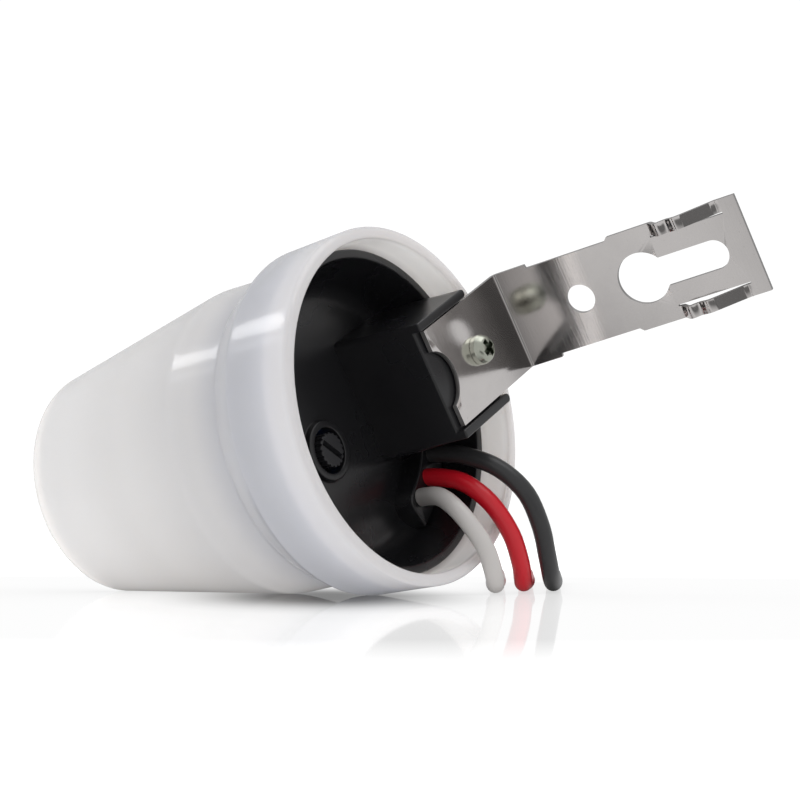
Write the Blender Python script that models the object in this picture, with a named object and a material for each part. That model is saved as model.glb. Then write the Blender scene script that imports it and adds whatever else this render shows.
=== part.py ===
"""Photocell switch: a milky cap pressed over a black base cup, with a folded bracket and three leads.

The switch is modelled about its own axis, in millimetres: the mouth is at z = 0 and opens towards +Z, the
cap reaches down to -Z, and the bracket's strap stands on the +X side. An empty then lays the finished
switch on its side, on the edge of its skirt and the end of its cone, the way it settles on a table.
"""
import math

import bmesh
import bpy
from mathutils import Matrix, Vector

MM = 0.001
FIT_GAP = 0.3
SEAT_GAP = 0.2
ROUND_SIDES = 64
SMALL_SIDES = 20
SMOOTH_ANGLE = math.radians(32)
CUT = 1.0
PILOT_END = 0.5

# Cap: skirt around the base, sloped shoulder, short straight body, cone and nearly flat end
LIP_RADIUS = 26.0
LIP_ROUNDING = 0.8
SKIRT_RADIUS = 25.45
SKIRT_LENGTH = 11.4
SKIRT_ROUNDING = 1.4
BODY_RADIUS = 22.9
BODY_START = 15.9
BODY_ROUNDING = 1.5
CONE_START = 25.0
CONE_ROUNDING = 9.0
CONE_END_RADIUS = 16.7
CAP_LENGTH = 59.3
END_ROUNDING = 2.6
END_CROWN = 0.9
CAP_WALL = 1.8
STEP_BELOW_SKIRT = 0.5
STEP_RISE = 2.5

# Base: a cup whose rim is sunk in the mouth and whose plug fills the start of the cap's body
RIM_DEPTH = 4.7
RIM_WIDTH = 1.7
RIM_ROUNDING = 0.3
FLOOR_DEPTH = 13.0
FLOOR_EDGE = 2.2
FLOOR_ROUNDING = 2.6
FLOOR_THICKNESS = 2.0
PLUG_SKIRT = 2.5
PLUG_WALL = 1.5

# Boss: the tower on the base's floor that carries the bracket between two cheeks
BOSS_NEAR_X = 6.9
BOSS_FAR_RADIUS = 22.4
BOSS_DRAFT = 0.6
BOSS_TOP = 0.8
HEAD_STEP = 0.02
POCKET_ROOF = 2.6
POCKET_WALL = 1.8
POCKET_WEB = 6.0
CHEEK_THICKNESS = 1.3
CHEEK_END_X = 20.7
CHEEK_PROUD = 0.45

# Bracket: a leg on the boss, a fold and a strap with a keyhole
SHEET = 0.7
LEG_START_X = 8.2
FOLD_X = 29.9
FOLD_ROUNDING = 0.4
STRAP_LENGTH = 39.4
STRAP_LEAN = math.radians(9.6)
BRACKET_HALF_WIDTH = 7.55
WAIST_HALF_WIDTH = 7.0
WAIST_START = 5.2
WAIST_END = 18.3
WAIST_CHAMFER = 0.8
LEG_NOTCH_RADIUS = 4.45
LEG_NOTCH_SHIFT = 1.15
SMALL_HOLE_AT = 11.5
SMALL_HOLE_RADIUS = 2.2
KEYHOLE_AT = 21.9
KEYHOLE_RADIUS = 3.95
SLOT_RADIUS = 2.25
SLOT_END_AT = 33.3
LANCE_START = 25.3
LANCE_END = 36.9
LANCE_WIDTH = 1.9
LANCE_SLIT = 0.25
LANCE_ROOT = 0.5
LANCE_RISE = 2.0
LANCE_DIP = 0.45
LANCE_INSET = 0.02

# Bracket screw
SCREW_X = 18.6
SCREW_HEAD_RADIUS = 2.5
SCREW_HEAD_HEIGHT = 1.9
SCREW_SHANK_RADIUS = 1.45
SCREW_LENGTH = 8.5
RECESS_LENGTH = 2.7
RECESS_WIDTH = 0.6
RECESS_DEPTH = 1.0

# Sensitivity adjuster, reached through a collared hole in the base's floor
TRIMMER_AT = (-5.3, -2.2)
COLLAR_RADIUS = 4.4
COLLAR_SIDES = 32
COLLAR_HEIGHT = 1.0
TRIMMER_HOLE_RADIUS = 3.35
ROTOR_RADIUS = 2.55
ROTOR_RIBS = 18
ROTOR_RIB_DEPTH = 0.22
ROTOR_PROUD = 0.45
ROTOR_SLOT_TURN = math.radians(-55)
ROTOR_SLOT_LENGTH = 4.2
ROTOR_SLOT_WIDTH = 0.8
ROTOR_SLOT_DEPTH = 1.0
TRIMMER_SIZE = 6.6
TRIMMER_GAPS = 0.8

# Circuit board and what it carries; places are in the board's frame, whose X axis points down at rest
BOARD_CLEARANCE = 2.5
BOARD_LAYOUT_RADIUS = 18.6
BOARD_THICKNESS = 1.6
POST_HEIGHT = 3.7
POST_RADIUS = 2.6
BOARD_SCREW_HEAD_RADIUS = 2.0
BOARD_SCREW_HEAD_HEIGHT = 1.5
BOARD_SCREW_SHANK_RADIUS = 1.1
BOARD_SCREW_GRIP = 2.6
BOARD_SCREWS = ((8.8, -13.6), (-14.3, -1.9))
RELAY_SIZE = (15.4, 18.8, 15.4)
RELAY_AT = (6.3, -2.0)
FILM_CAPACITOR_SIZE = (6.6, 15.6, 12.0)
FILM_CAPACITOR_AT = (-7.7, 5.0)
ELECTROLYTIC_RADIUS = 4.9
ELECTROLYTIC_HEIGHT = 16.0
ELECTROLYTIC_AT = (-7.4, -9.4)
DIODE_RADIUS = 1.35
DIODE_LENGTH = 4.4
DIODE_FIRST_X = -0.6
DIODE_SPACING = 3.3
DIODE_ROW_Y = 11.1
DIODE_COUNT = 4
RESISTOR_RADIUS = 1.15
RESISTOR_LENGTH = 5.6
RESISTORS = ((-14.2, -7.8, 90), (16.1, -1.6, 90), (1.6, -14.9, 0))
AXIAL_LIFT = 0.5
AXIAL_LEG_REACH = 0.7
TRANSISTOR_AT = (-13.6, 7.7)
TRANSISTOR_WIDTH = 4.6
TRANSISTOR_DEPTH = 3.4
TRANSISTOR_HEIGHT = 4.6
TRANSISTOR_LIFT = 2.0
TRANSISTOR_PITCH = 1.3
PHOTORESISTOR_AT = (-14.2, 2.9)
PHOTORESISTOR_RADIUS = 2.55
PHOTORESISTOR_THICKNESS = 2.0
PHOTORESISTOR_SHARE = 0.564
PHOTORESISTOR_PITCH = 3.4
LEG_SECTION = 0.5

# Leads, which rise through the base's floor beside the boss and end stripped
LEAD_RADIUS = 1.35
LEAD_HOLE_INSET = 1.1
LEAD_ANGLES = {"black": -42.5, "red": -55.0, "white": -67.5}
LEAD_RISE = 2.0
LEAD_SAMPLING = 5.4
CONDUCTOR_RADIUS = 0.65
CONDUCTOR_LENGTH = 6.0

# Pose on the table: how far the strap's side is rolled up, and where the weight lies along the axis
STRAP_ROLL = math.radians(26.7)
BALANCE_DEPTH = 20.0

# The leads' free routes on the table, in world millimetres
LEAD_ROUTES = {
    "black": ((4.2, 11.5, 20.6), (9.5, 11.6, 20.1), (14.6, 12.3, 18.3), (18.3, 13.8, 14.8), (19.5, 15.9, 10.0),
              (18.5, 19.0, 5.7), (16.4, 23.0, 2.9), (12.1, 29.8, 1.6), (4.6, 41.0, 1.5), (-10.7, 63.2, 1.5),
              (-35.2, 98.8, 1.5)),
    "red": ((4.8, 9.9, 17.1), (10.1, 9.6, 16.3), (14.5, 10.2, 13.4), (16.7, 12.3, 9.0), (16.0, 15.7, 4.9),
            (13.6, 19.8, 2.4), (10.6, 24.2, 1.6), (6.1, 30.9, 1.5), (-1.4, 42.1, 1.5), (-17.0, 64.2, 1.5),
            (-41.8, 99.5, 1.5)),
    "white": ((5.2, 7.1, 14.2), (10.0, 4.6, 14.0), (14.5, 3.4, 11.5), (17.3, 4.9, 7.2), (16.7, 8.2, 3.1),
              (13.9, 12.5, 1.6), (7.5, 21.2, 1.6), (-1.6, 34.5, 1.5), (-17.4, 56.5, 1.5), (-42.6, 91.6, 1.5)),
}

CAP_INNER_RADIUS = LIP_RADIUS - CAP_WALL
BODY_INNER_RADIUS = BODY_RADIUS - CAP_WALL
STEP_DEPTH = SKIRT_LENGTH + STEP_BELOW_SKIRT
BASE_RADIUS = CAP_INNER_RADIUS - FIT_GAP - SEAT_GAP
FLANGE_DEPTH = STEP_DEPTH - FIT_GAP / 2
PLUG_RADIUS = BODY_INNER_RADIUS - FIT_GAP
FLOOR_RADIUS = PLUG_RADIUS - FLOOR_EDGE
FLOOR_BACK = FLOOR_DEPTH + FLOOR_THICKNESS
PLUG_DEPTH = FLOOR_BACK + PLUG_SKIRT
BOARD_RADIUS = BODY_INNER_RADIUS - BOARD_CLEARANCE
BOARD_DEPTH = FLOOR_BACK + POST_HEIGHT
TRIMMER_HEIGHT = POST_HEIGHT - TRIMMER_GAPS
LEAD_CIRCLE = FLOOR_RADIUS - LEAD_HOLE_INSET
LEG_TOP = BOSS_TOP + SEAT_GAP + SHEET
CHEEK_INNER_Y = BRACKET_HALF_WIDTH + FIT_GAP
BOSS_HALF_WIDTH = CHEEK_INNER_Y + CHEEK_THICKNESS
COLLAR_TOP = COLLAR_HEIGHT - FLOOR_DEPTH
LEAD_HOLE_RADIUS = LEAD_RADIUS + FIT_GAP
BOARD_BACK = -(BOARD_DEPTH + BOARD_THICKNESS)
PART_TOP = BOARD_BACK - SEAT_GAP
PHOTORESISTOR_REACH = (CAP_LENGTH + PART_TOP) * PHOTORESISTOR_SHARE
PARTS_SCALE = BOARD_RADIUS / BOARD_LAYOUT_RADIUS
DOWN_ANGLE = math.radians(270) - STRAP_ROLL


def clear_scene():
    """Removes whatever the scene holds."""
    for item in list(bpy.data.objects):
        bpy.data.objects.remove(item, do_unlink=True)


def material(name, colour, roughness, metallic=0.0):
    """A plain Principled material."""
    made = bpy.data.materials.new(name)
    made.use_nodes = True
    shader = made.node_tree.nodes["Principled BSDF"]
    shader.inputs["Base Color"].default_value = (*colour, 1.0)
    shader.inputs["Roughness"].default_value = roughness
    shader.inputs["Metallic"].default_value = metallic
    made.diffuse_color = (*colour, 1.0)
    return made


def rounded(corners, steps=4, closed=True):
    """Points of an outline whose corners (x, y, radius) are rounded by arcs."""
    points = []
    last = len(corners) - 1
    for index, (x, y, radius) in enumerate(corners):
        if radius <= 0 or (not closed and index in (0, last)):
            points.append((x, y))
            continue
        here = Vector((x, y))
        before = (Vector(corners[index - 1][:2]) - here).normalized()
        after = (Vector(corners[(index + 1) % len(corners)][:2]) - here).normalized()
        half = before.angle(after) / 2
        centre = here + (before + after).normalized() * (radius / math.sin(half))
        reach = radius / math.tan(half)
        first = here + before * reach - centre
        sweep = -first.angle_signed(here + after * reach - centre)
        for step in range(steps + 1):
            spoke = first.copy()
            spoke.rotate(Matrix.Rotation(sweep * step / steps, 2))
            points.append(tuple(centre + spoke))
    return points


def polar(radius, degrees, centre=(0.0, 0.0)):
    """The point at a radius and an angle around a centre."""
    angle = math.radians(degrees)
    return (centre[0] + radius * math.cos(angle), centre[1] + radius * math.sin(angle))


def arc(radius, start, end, steps, centre=(0.0, 0.0)):
    """Points along an arc, from one angle in degrees to another."""
    return [polar(radius, start + (end - start) * step / steps, centre) for step in range(steps + 1)]


def lathe(profile, closed=False, sides=ROUND_SIDES):
    """A body turned about Z from (radius, z) points, with one of its flat facets facing down at rest."""
    bm = bmesh.new()
    turn = Matrix.Rotation(DOWN_ANGLE + math.pi / sides, 3, "Z")
    verts = [bm.verts.new(turn @ Vector((radius, 0, z))) for radius, z in profile]
    following = verts[1:] + verts[:1] if closed else verts[1:]
    edges = [bm.edges.new(pair) for pair in zip(verts, following)]
    bmesh.ops.spin(bm, geom=verts + edges, cent=(0, 0, 0), axis=(0, 0, 1), angle=2 * math.pi,
                   steps=sides, use_merge=True)
    bmesh.ops.remove_doubles(bm, verts=bm.verts, dist=1e-4)
    bmesh.ops.dissolve_degenerate(bm, edges=bm.edges, dist=1e-5)
    bmesh.ops.recalc_face_normals(bm, faces=bm.faces)
    return bm


def loft(bottom, top, low, high):
    """A body between two outlines with the same number of points, at two heights."""
    bm = bmesh.new()
    lower = [bm.verts.new((x, y, low)) for x, y in bottom]
    upper = [bm.verts.new((x, y, high)) for x, y in top]
    bm.faces.new(lower)
    bm.faces.new(upper)
    for index in range(len(lower)):
        after = (index + 1) % len(lower)
        bm.faces.new((lower[index], lower[after], upper[after], upper[index]))
    bmesh.ops.recalc_face_normals(bm, faces=bm.faces)
    return bm


def prism(outline, low, high):
    """A straight body over one outline."""
    return loft(outline, outline, low, high)


def cylinder(radius, low, high, at=(0.0, 0.0), sides=SMALL_SIDES):
    """A round bar along Z."""
    step = 360 / sides
    return prism(arc(radius, step / 2, 360 - step / 2, sides - 1, at), low, high)


def block(size, centre):
    """A box from its size and its centre."""
    bm = bmesh.new()
    bmesh.ops.create_cube(bm, size=1.0)
    bm.transform(Matrix.Translation(centre) @ Matrix.Diagonal((*size, 1.0)))
    return bm


def placed(bm, matrix):
    """The same body, moved."""
    bm.transform(matrix)
    return bm


def standing(bm):
    """The same body with its outline's Y turned up to Z."""
    return placed(bm, Matrix.Rotation(math.pi / 2, 4, "X"))


def group(*bodies):
    """Separate bodies in one mesh, for use as one Boolean helper."""
    whole = bodies[0]
    for body in bodies[1:]:
        carrier = bpy.data.meshes.new("carrier")
        body.to_mesh(carrier)
        body.free()
        whole.from_mesh(carrier)
        bpy.data.meshes.remove(carrier)
    return whole


def add_object(name, bm, parent, made=None, at=(0.0, 0.0, 0.0)):
    """Turns a mesh in millimetres into an object in metres, shaded smooth, with its origin at a point."""
    bm.transform(Matrix.Scale(MM, 4) @ Matrix.Translation(-Vector(at)))
    mesh = bpy.data.meshes.new(name)
    bm.to_mesh(mesh)
    bm.free()
    mesh.shade_smooth()
    mesh.set_sharp_from_angle(angle=SMOOTH_ANGLE)
    item = bpy.data.objects.new(name, mesh)
    item.location = Vector(at) * MM
    item.parent = parent
    if made:
        mesh.materials.append(made)
    bpy.context.scene.collection.objects.link(item)
    return item


def combine(item, operation, name, bm):
    """Unites an object with helper bodies, or cuts them out of it."""
    guide = add_object(name, bm, item.parent)
    guide.hide_render = True
    guide.display_type = "WIRE"
    step = item.modifiers.new(name, "BOOLEAN")
    step.operation = operation
    step.solver = "EXACT"
    step.object = guide


def round_edges(item, width, segments=2):
    """Rounds an object's sharp edges."""
    step = item.modifiers.new("rounded_edges", "BEVEL")
    step.width = width * MM
    step.segments = segments
    step.limit_method = "ANGLE"


def on_board(x, y, turn=0.0):
    """Matrix from a part's own frame to a place on the board, spread as the board's radius allows."""
    board = Matrix.Rotation(DOWN_ANGLE, 4, "Z")
    place = Matrix.Translation((x * PARTS_SCALE, y * PARTS_SCALE, 0))
    return board @ place @ Matrix.Rotation(math.radians(turn), 4, "Z")


def cap_outline():
    """The cap's outer profile from its end to the lip, as corners (radius, z, rounding)."""
    return [(0, -CAP_LENGTH - END_CROWN, 0),
            (CONE_END_RADIUS, -CAP_LENGTH, END_ROUNDING),
            (BODY_RADIUS, -CONE_START, CONE_ROUNDING),
            (BODY_RADIUS, -BODY_START, BODY_ROUNDING),
            (SKIRT_RADIUS, -SKIRT_LENGTH, SKIRT_ROUNDING),
            (LIP_RADIUS, 0, LIP_ROUNDING)]


def cap_lining():
    """The cap's inner profile from the lip back to its end."""
    slope = math.atan2(BODY_RADIUS - CONE_END_RADIUS, CAP_LENGTH - CONE_START)
    end_radius = CONE_END_RADIUS + CAP_WALL * math.tan(slope) - CAP_WALL / math.cos(slope)
    return [(CAP_INNER_RADIUS, 0, LIP_ROUNDING / 2),
            (CAP_INNER_RADIUS, -STEP_DEPTH, LIP_ROUNDING),
            (BODY_INNER_RADIUS, -STEP_DEPTH - STEP_RISE, LIP_ROUNDING),
            (BODY_INNER_RADIUS, -CONE_START, 0),
            (end_radius, CAP_WALL - CAP_LENGTH, END_ROUNDING / 2),
            (0, CAP_WALL - CAP_LENGTH - END_CROWN, 0)]


def build_cap(parent):
    """The milky cap, one moulded shell that is open at the lip."""
    profile = rounded(cap_outline() + cap_lining(), steps=3, closed=False)
    return add_object("cap", lathe(profile), parent, material("milky_plastic", (0.80, 0.79, 0.77), 0.3))


def base_cup():
    """The base without its boss: rim, sloped wall, floor and plug."""
    inner_rim = BASE_RADIUS - RIM_WIDTH
    return lathe(rounded([(0, -FLOOR_DEPTH, 0),
                          (FLOOR_RADIUS, -FLOOR_DEPTH, FLOOR_ROUNDING),
                          (inner_rim, -RIM_DEPTH, RIM_ROUNDING),
                          (BASE_RADIUS, -RIM_DEPTH, RIM_ROUNDING),
                          (BASE_RADIUS, -FLANGE_DEPTH, RIM_ROUNDING),
                          (PLUG_RADIUS, -FLANGE_DEPTH, 0),
                          (PLUG_RADIUS, -PLUG_DEPTH, 0),
                          (PLUG_RADIUS - PLUG_WALL, -PLUG_DEPTH, 0),
                          (PLUG_RADIUS - PLUG_WALL, -FLOOR_BACK, 0),
                          (0, -FLOOR_BACK, 0)], steps=3, closed=False))


def boss_outline(half_width, far_radius):
    """The boss in plan: a straight near edge, two sides and a far edge along the cup's wall."""
    turn = math.degrees(math.asin(half_width / far_radius))
    return [(BOSS_NEAR_X, half_width), (BOSS_NEAR_X, -half_width)] + arc(far_radius, -turn, turn, 8)


def build_base(parent):
    """The black base cup with the boss, its cheeks, the adjuster's collar and the board's posts."""
    item = add_object("base", base_cup(), parent, material("black_plastic", (0.018, 0.018, 0.02), 0.28))
    wide = BOSS_HALF_WIDTH + BOSS_DRAFT
    plug_reach = PLUG_RADIUS - PLUG_WALL / 2
    root = loft(boss_outline(wide, plug_reach), boss_outline(BOSS_HALF_WIDTH, plug_reach),
                -FLOOR_DEPTH - FLOOR_THICKNESS / 2, BOSS_TOP)
    combine(item, "UNION", "boss_root", root)
    head = prism(boss_outline(BOSS_HALF_WIDTH - SEAT_GAP, BOSS_FAR_RADIUS), 1 - FLANGE_DEPTH,
                 BOSS_TOP - HEAD_STEP)
    combine(item, "UNION", "boss_head", head)
    cheeks = [cheek(side) for side in (-1, 1)]
    within_floor = -FLOOR_DEPTH - FLOOR_THICKNESS / 2
    collar = cylinder(COLLAR_RADIUS, within_floor, COLLAR_TOP, TRIMMER_AT, COLLAR_SIDES)
    posts = [placed(cylinder(POST_RADIUS, SEAT_GAP - BOARD_DEPTH, within_floor), on_board(*at))
             for at in BOARD_SCREWS]
    combine(item, "UNION", "base_additions", group(*cheeks, collar, *posts))
    combine(item, "DIFFERENCE", "base_hollows", base_hollows())
    return item


def cheek(side):
    """One of the two walls beside the bracket's leg, with a round end."""
    middle = side * (CHEEK_INNER_Y + CHEEK_THICKNESS / 2)
    half = CHEEK_THICKNESS / 2
    end = arc(half, -90, 90, 6, (CHEEK_END_X - half, middle))
    outline = [(BOSS_NEAR_X, middle + half), (BOSS_NEAR_X, middle - half)] + end
    return prism(outline, -RIM_DEPTH, LEG_TOP + CHEEK_PROUD)


def boss_pocket(side):
    """One of the two hollows that open the boss from behind."""
    far = side * (BOSS_HALF_WIDTH - POCKET_WALL)
    near = side * POCKET_WEB / 2
    low_x = BOSS_NEAR_X + POCKET_WALL
    high_x = math.sqrt((PLUG_RADIUS - PLUG_WALL - POCKET_WALL) ** 2 - far ** 2)
    outline = [(low_x, near), (high_x, near), (high_x, far), (low_x, far)]
    return prism(outline, -FLOOR_BACK - CUT, BOSS_TOP - POCKET_ROOF)


def base_hollows():
    """Everything cut out of the base: the adjuster's hole, screw holes, pockets and the leads' holes."""
    through = -FLOOR_BACK - CUT
    trimmer = cylinder(TRIMMER_HOLE_RADIUS, through, COLLAR_TOP + CUT, TRIMMER_AT, COLLAR_SIDES)
    pilot = cylinder(SCREW_SHANK_RADIUS + FIT_GAP, LEG_TOP - SCREW_LENGTH - PILOT_END, BOSS_TOP + CUT, (SCREW_X, 0))
    pockets = [boss_pocket(side) for side in (-1, 1)]
    leads = [cylinder(LEAD_HOLE_RADIUS, through, -RIM_DEPTH - FLOOR_ROUNDING, lead_place(colour))
             for colour in LEAD_ANGLES]
    depth = BOARD_SCREW_GRIP + PILOT_END - BOARD_DEPTH
    pilots = [placed(cylinder(BOARD_SCREW_SHANK_RADIUS + FIT_GAP, -BOARD_DEPTH - CUT, depth, sides=12),
                     on_board(*at)) for at in BOARD_SCREWS]
    return group(trimmer, pilot, *pockets, *leads, *pilots)


def lead_place(colour):
    """Where a lead passes through the floor."""
    return polar(LEAD_CIRCLE, LEAD_ANGLES[colour])


def strap_frame():
    """Matrix of the strap: its Z runs along the strap from the fold, its X goes through the sheet."""
    return Matrix.Translation((FOLD_X, 0, LEG_TOP)) @ Matrix.Rotation(STRAP_LEAN, 4, "Y")


def through_strap(outline):
    """A cutter through the strap from an outline of (across, along) points."""
    bm = prism(outline, -CUT, SHEET + CUT)
    return placed(bm, strap_frame() @ Matrix(((0, 0, 1, 0), (1, 0, 0, 0), (0, 1, 0, 0), (0, 0, 0, 1))))


def bracket_profile():
    """The folded sheet seen from the side, in X and Z."""
    sine, cosine = math.sin(STRAP_LEAN), math.cos(STRAP_LEAN)
    end = (FOLD_X + STRAP_LENGTH * sine, LEG_TOP + STRAP_LENGTH * cosine)
    outer_corner = FOLD_X + SHEET * (cosine - (1 - sine) * sine / cosine)
    return rounded([(LEG_START_X, LEG_TOP, 0),
                    (FOLD_X, LEG_TOP, FOLD_ROUNDING),
                    (*end, 0),
                    (end[0] + SHEET * cosine, end[1] - SHEET * sine, 0),
                    (outer_corner, LEG_TOP - SHEET, FOLD_ROUNDING + SHEET),
                    (LEG_START_X, LEG_TOP - SHEET, 0)], steps=5)


def keyhole_outline():
    """Round entry and slot as one outline of (across, along) points."""
    corner = math.degrees(math.asin(SLOT_RADIUS / KEYHOLE_RADIUS))
    entry = arc(KEYHOLE_RADIUS, 90 + corner, 450 - corner, 28, (0, KEYHOLE_AT))
    return entry + arc(SLOT_RADIUS, 0, 180, 12, (0, SLOT_END_AT))


def lance_outline():
    """One lanced strip seen from its edge, as (through, along) points: a steep start, a wave, a long slope."""
    span = LANCE_END - LANCE_START
    root = LANCE_ROOT / span
    knots = [(-root, 0), (0.009, 0), (0.043, 0.15), (0.086, 0.8), (0.172, 1), (0.293, 1 - LANCE_DIP / LANCE_RISE),
             (0.422, 1), (0.534, 0.86), (0.931, 0.04), (1, 0), (1 + root, 0)]
    points = [Vector((SHEET / 2 - high * LANCE_RISE, LANCE_START + share * span)) for share, high in knots]
    middle = smooth_path(points, 3)
    half = SHEET * 0.48
    near, far = [], []
    for index, here in enumerate(middle):
        run = (middle[min(index + 1, len(middle) - 1)] - middle[max(index - 1, 0)]).normalized()
        normal = Vector((-run.y, run.x))
        near.append(tuple(here - normal * half))
        far.append(tuple(here + normal * half))
    return near + far[::-1]


def smooth_path(points, pieces):
    """Points on a smooth curve through the given ones, with each span cut into pieces."""
    path = []
    for index in range(len(points) - 1):
        before, here, there = points[max(index - 1, 0)], points[index], points[index + 1]
        after = points[min(index + 2, len(points) - 1)]
        for piece in range(pieces):
            t = piece / pieces
            path.append(0.5 * (2 * here + (there - before) * t
                               + (2 * before - 5 * here + 4 * there - after) * t ** 2
                               + (3 * here - before - 3 * there + after) * t ** 3))
    return path + [points[-1]]


def build_bracket(parent):
    """The folded mounting bracket with its holes, waist and two lanced strips."""
    sheet = standing(prism(bracket_profile(), -BRACKET_HALF_WIDTH, BRACKET_HALF_WIDTH))
    item = add_object("bracket", sheet, parent, material("zinc_plate", (0.62, 0.62, 0.61), 0.22, 1.0))
    edge = BRACKET_HALF_WIDTH + CUT
    cutters = [cylinder(LEG_NOTCH_RADIUS, BOSS_TOP - CUT, LEG_TOP + CUT, (LEG_START_X - LEG_NOTCH_SHIFT, 0), 40),
               cylinder(SCREW_SHANK_RADIUS + FIT_GAP, BOSS_TOP - CUT, LEG_TOP + CUT, (SCREW_X, 0)),
               through_strap(arc(SMALL_HOLE_RADIUS, 0, 345, 23, (0, SMALL_HOLE_AT))),
               through_strap(keyhole_outline())]
    for side in (-1, 1):
        waist = [(side * edge, WAIST_START - WAIST_CHAMFER / 2), (side * edge, WAIST_END + 2 * WAIST_CHAMFER),
                 (side * WAIST_HALF_WIDTH, WAIST_END), (side * WAIST_HALF_WIDTH, WAIST_START)]
        inner = side * (BRACKET_HALF_WIDTH - LANCE_WIDTH - LANCE_SLIT)
        window = [(side * edge, LANCE_START), (side * edge, LANCE_END), (inner, LANCE_END), (inner, LANCE_START)]
        cutters += [through_strap(waist), through_strap(window)]
    combine(item, "DIFFERENCE", "bracket_cuts", group(*cutters))
    on_edge = strap_frame() @ Matrix(((1, 0, 0, 0), (0, 0, 1, 0), (0, 1, 0, 0), (0, 0, 0, 1)))
    strips = []
    for side in (-1, 1):
        reach = sorted((side * (BRACKET_HALF_WIDTH - LANCE_WIDTH), side * (BRACKET_HALF_WIDTH - LANCE_INSET)))
        strips.append(placed(prism(lance_outline(), *reach), on_edge))
    combine(item, "UNION", "lanced_strips", group(*strips))
    return item


def build_bracket_screw(parent):
    """The pan-head screw that holds the leg to the boss."""
    under = LEG_TOP + SEAT_GAP
    top = under + SCREW_HEAD_HEIGHT
    tip = LEG_TOP - SCREW_LENGTH
    bm = lathe(rounded([(0, top, 0),
                        (SCREW_HEAD_RADIUS * 0.72, top - 0.15, 0.8),
                        (SCREW_HEAD_RADIUS, under + 0.9, 0.6),
                        (SCREW_HEAD_RADIUS, under, 0.15),
                        (SCREW_SHANK_RADIUS, under, 0),
                        (SCREW_SHANK_RADIUS, tip + 1, 0),
                        (0, tip, 0)], steps=3, closed=False), sides=28)
    bm.transform(Matrix.Translation((SCREW_X, 0, 0)))
    item = add_object("bracket_screw", bm, parent, material("nickel", (0.60, 0.61, 0.55), 0.24, 1.0))
    for number, turn in enumerate((20, 110)):
        slot = block((RECESS_LENGTH, RECESS_WIDTH, 2 * RECESS_DEPTH), (0, 0, top))
        slot.transform(Matrix.Translation((SCREW_X, 0, 0)) @ Matrix.Rotation(math.radians(turn), 4, "Z"))
        combine(item, "DIFFERENCE", f"screw_recess_{number + 1}", slot)
    return item


def build_trimmer(parent):
    """The adjuster: its body on the board and the ribbed rotor that a screwdriver turns."""
    low = SEAT_GAP - BOARD_DEPTH
    body = block((TRIMMER_SIZE, TRIMMER_SIZE, TRIMMER_HEIGHT), (*TRIMMER_AT, low + TRIMMER_HEIGHT / 2))
    add_object("trimmer_body", body, parent, material("trimmer_blue", (0.05, 0.13, 0.35), 0.4))
    groove = ROTOR_RADIUS - ROTOR_RIB_DEPTH
    outline = [polar(radius, 360 * (rib + share) / ROTOR_RIBS)
               for rib in range(ROTOR_RIBS)
               for share, radius in ((0, ROTOR_RADIUS), (0.42, ROTOR_RADIUS), (0.55, groove), (0.87, groove))]
    bottom = low + TRIMMER_HEIGHT + SEAT_GAP
    top = COLLAR_TOP + ROTOR_PROUD
    axis = Matrix.Translation((*TRIMMER_AT, 0))
    rotor = add_object("trimmer_rotor", placed(prism(outline, bottom, top), axis), parent,
                       material("rotor_black", (0.03, 0.03, 0.032), 0.35), (*TRIMMER_AT, top))
    slot = block((ROTOR_SLOT_LENGTH, ROTOR_SLOT_WIDTH, 2 * ROTOR_SLOT_DEPTH), (0, 0, top))
    slot.transform(axis @ Matrix.Rotation(ROTOR_SLOT_TURN, 4, "Z"))
    combine(rotor, "DIFFERENCE", "rotor_slot", slot)


def build_board(parent):
    """The round circuit board and the two screws that hold it to the base's posts."""
    item = add_object("circuit_board", cylinder(BOARD_RADIUS, BOARD_BACK, -BOARD_DEPTH, sides=48), parent,
                      material("board_green", (0.03, 0.16, 0.07), 0.45))
    holes = [placed(cylinder(BOARD_SCREW_SHANK_RADIUS + FIT_GAP, BOARD_BACK - 1, 1 - BOARD_DEPTH, sides=12),
                    on_board(*at)) for at in BOARD_SCREWS]
    combine(item, "DIFFERENCE", "board_holes", group(*holes))
    tip = BOARD_SCREW_GRIP - BOARD_DEPTH
    top = PART_TOP - BOARD_SCREW_HEAD_HEIGHT
    for number, at in enumerate(BOARD_SCREWS):
        bm = lathe([(0, tip),
                    (BOARD_SCREW_SHANK_RADIUS, tip - 0.6),
                    (BOARD_SCREW_SHANK_RADIUS, PART_TOP),
                    (BOARD_SCREW_HEAD_RADIUS, PART_TOP),
                    (BOARD_SCREW_HEAD_RADIUS, top + 0.4),
                    (BOARD_SCREW_HEAD_RADIUS - 0.5, top),
                    (0, top)], sides=12)
        add_object(f"board_screw_{number + 1}", placed(bm, on_board(*at)), parent,
                   material(f"screw_steel_{number + 1}", (0.55, 0.55, 0.55), 0.35, 1.0))


def build_blocks(parent):
    """The tall parts on the board: relay, film capacitor and electrolytic capacitor."""
    for name, size, at, colour in (("relay", RELAY_SIZE, RELAY_AT, (0.04, 0.09, 0.28)),
                                   ("film_capacitor", FILM_CAPACITOR_SIZE, FILM_CAPACITOR_AT, (0.45, 0.05, 0.03))):
        foot = (size[0] * PARTS_SCALE, size[1] * PARTS_SCALE, size[2])
        bm = placed(block(foot, (0, 0, PART_TOP - size[2] / 2)), on_board(*at))
        item = add_object(name, bm, parent, material(f"{name}_plastic", colour, 0.4))
        round_edges(item, 0.5)
    can = cylinder(ELECTROLYTIC_RADIUS * PARTS_SCALE, PART_TOP - ELECTROLYTIC_HEIGHT, PART_TOP, sides=28)
    item = add_object("electrolytic_capacitor", placed(can, on_board(*ELECTROLYTIC_AT)), parent,
                      material("capacitor_sleeve", (0.02, 0.025, 0.05), 0.35))
    round_edges(item, 0.6)


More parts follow.
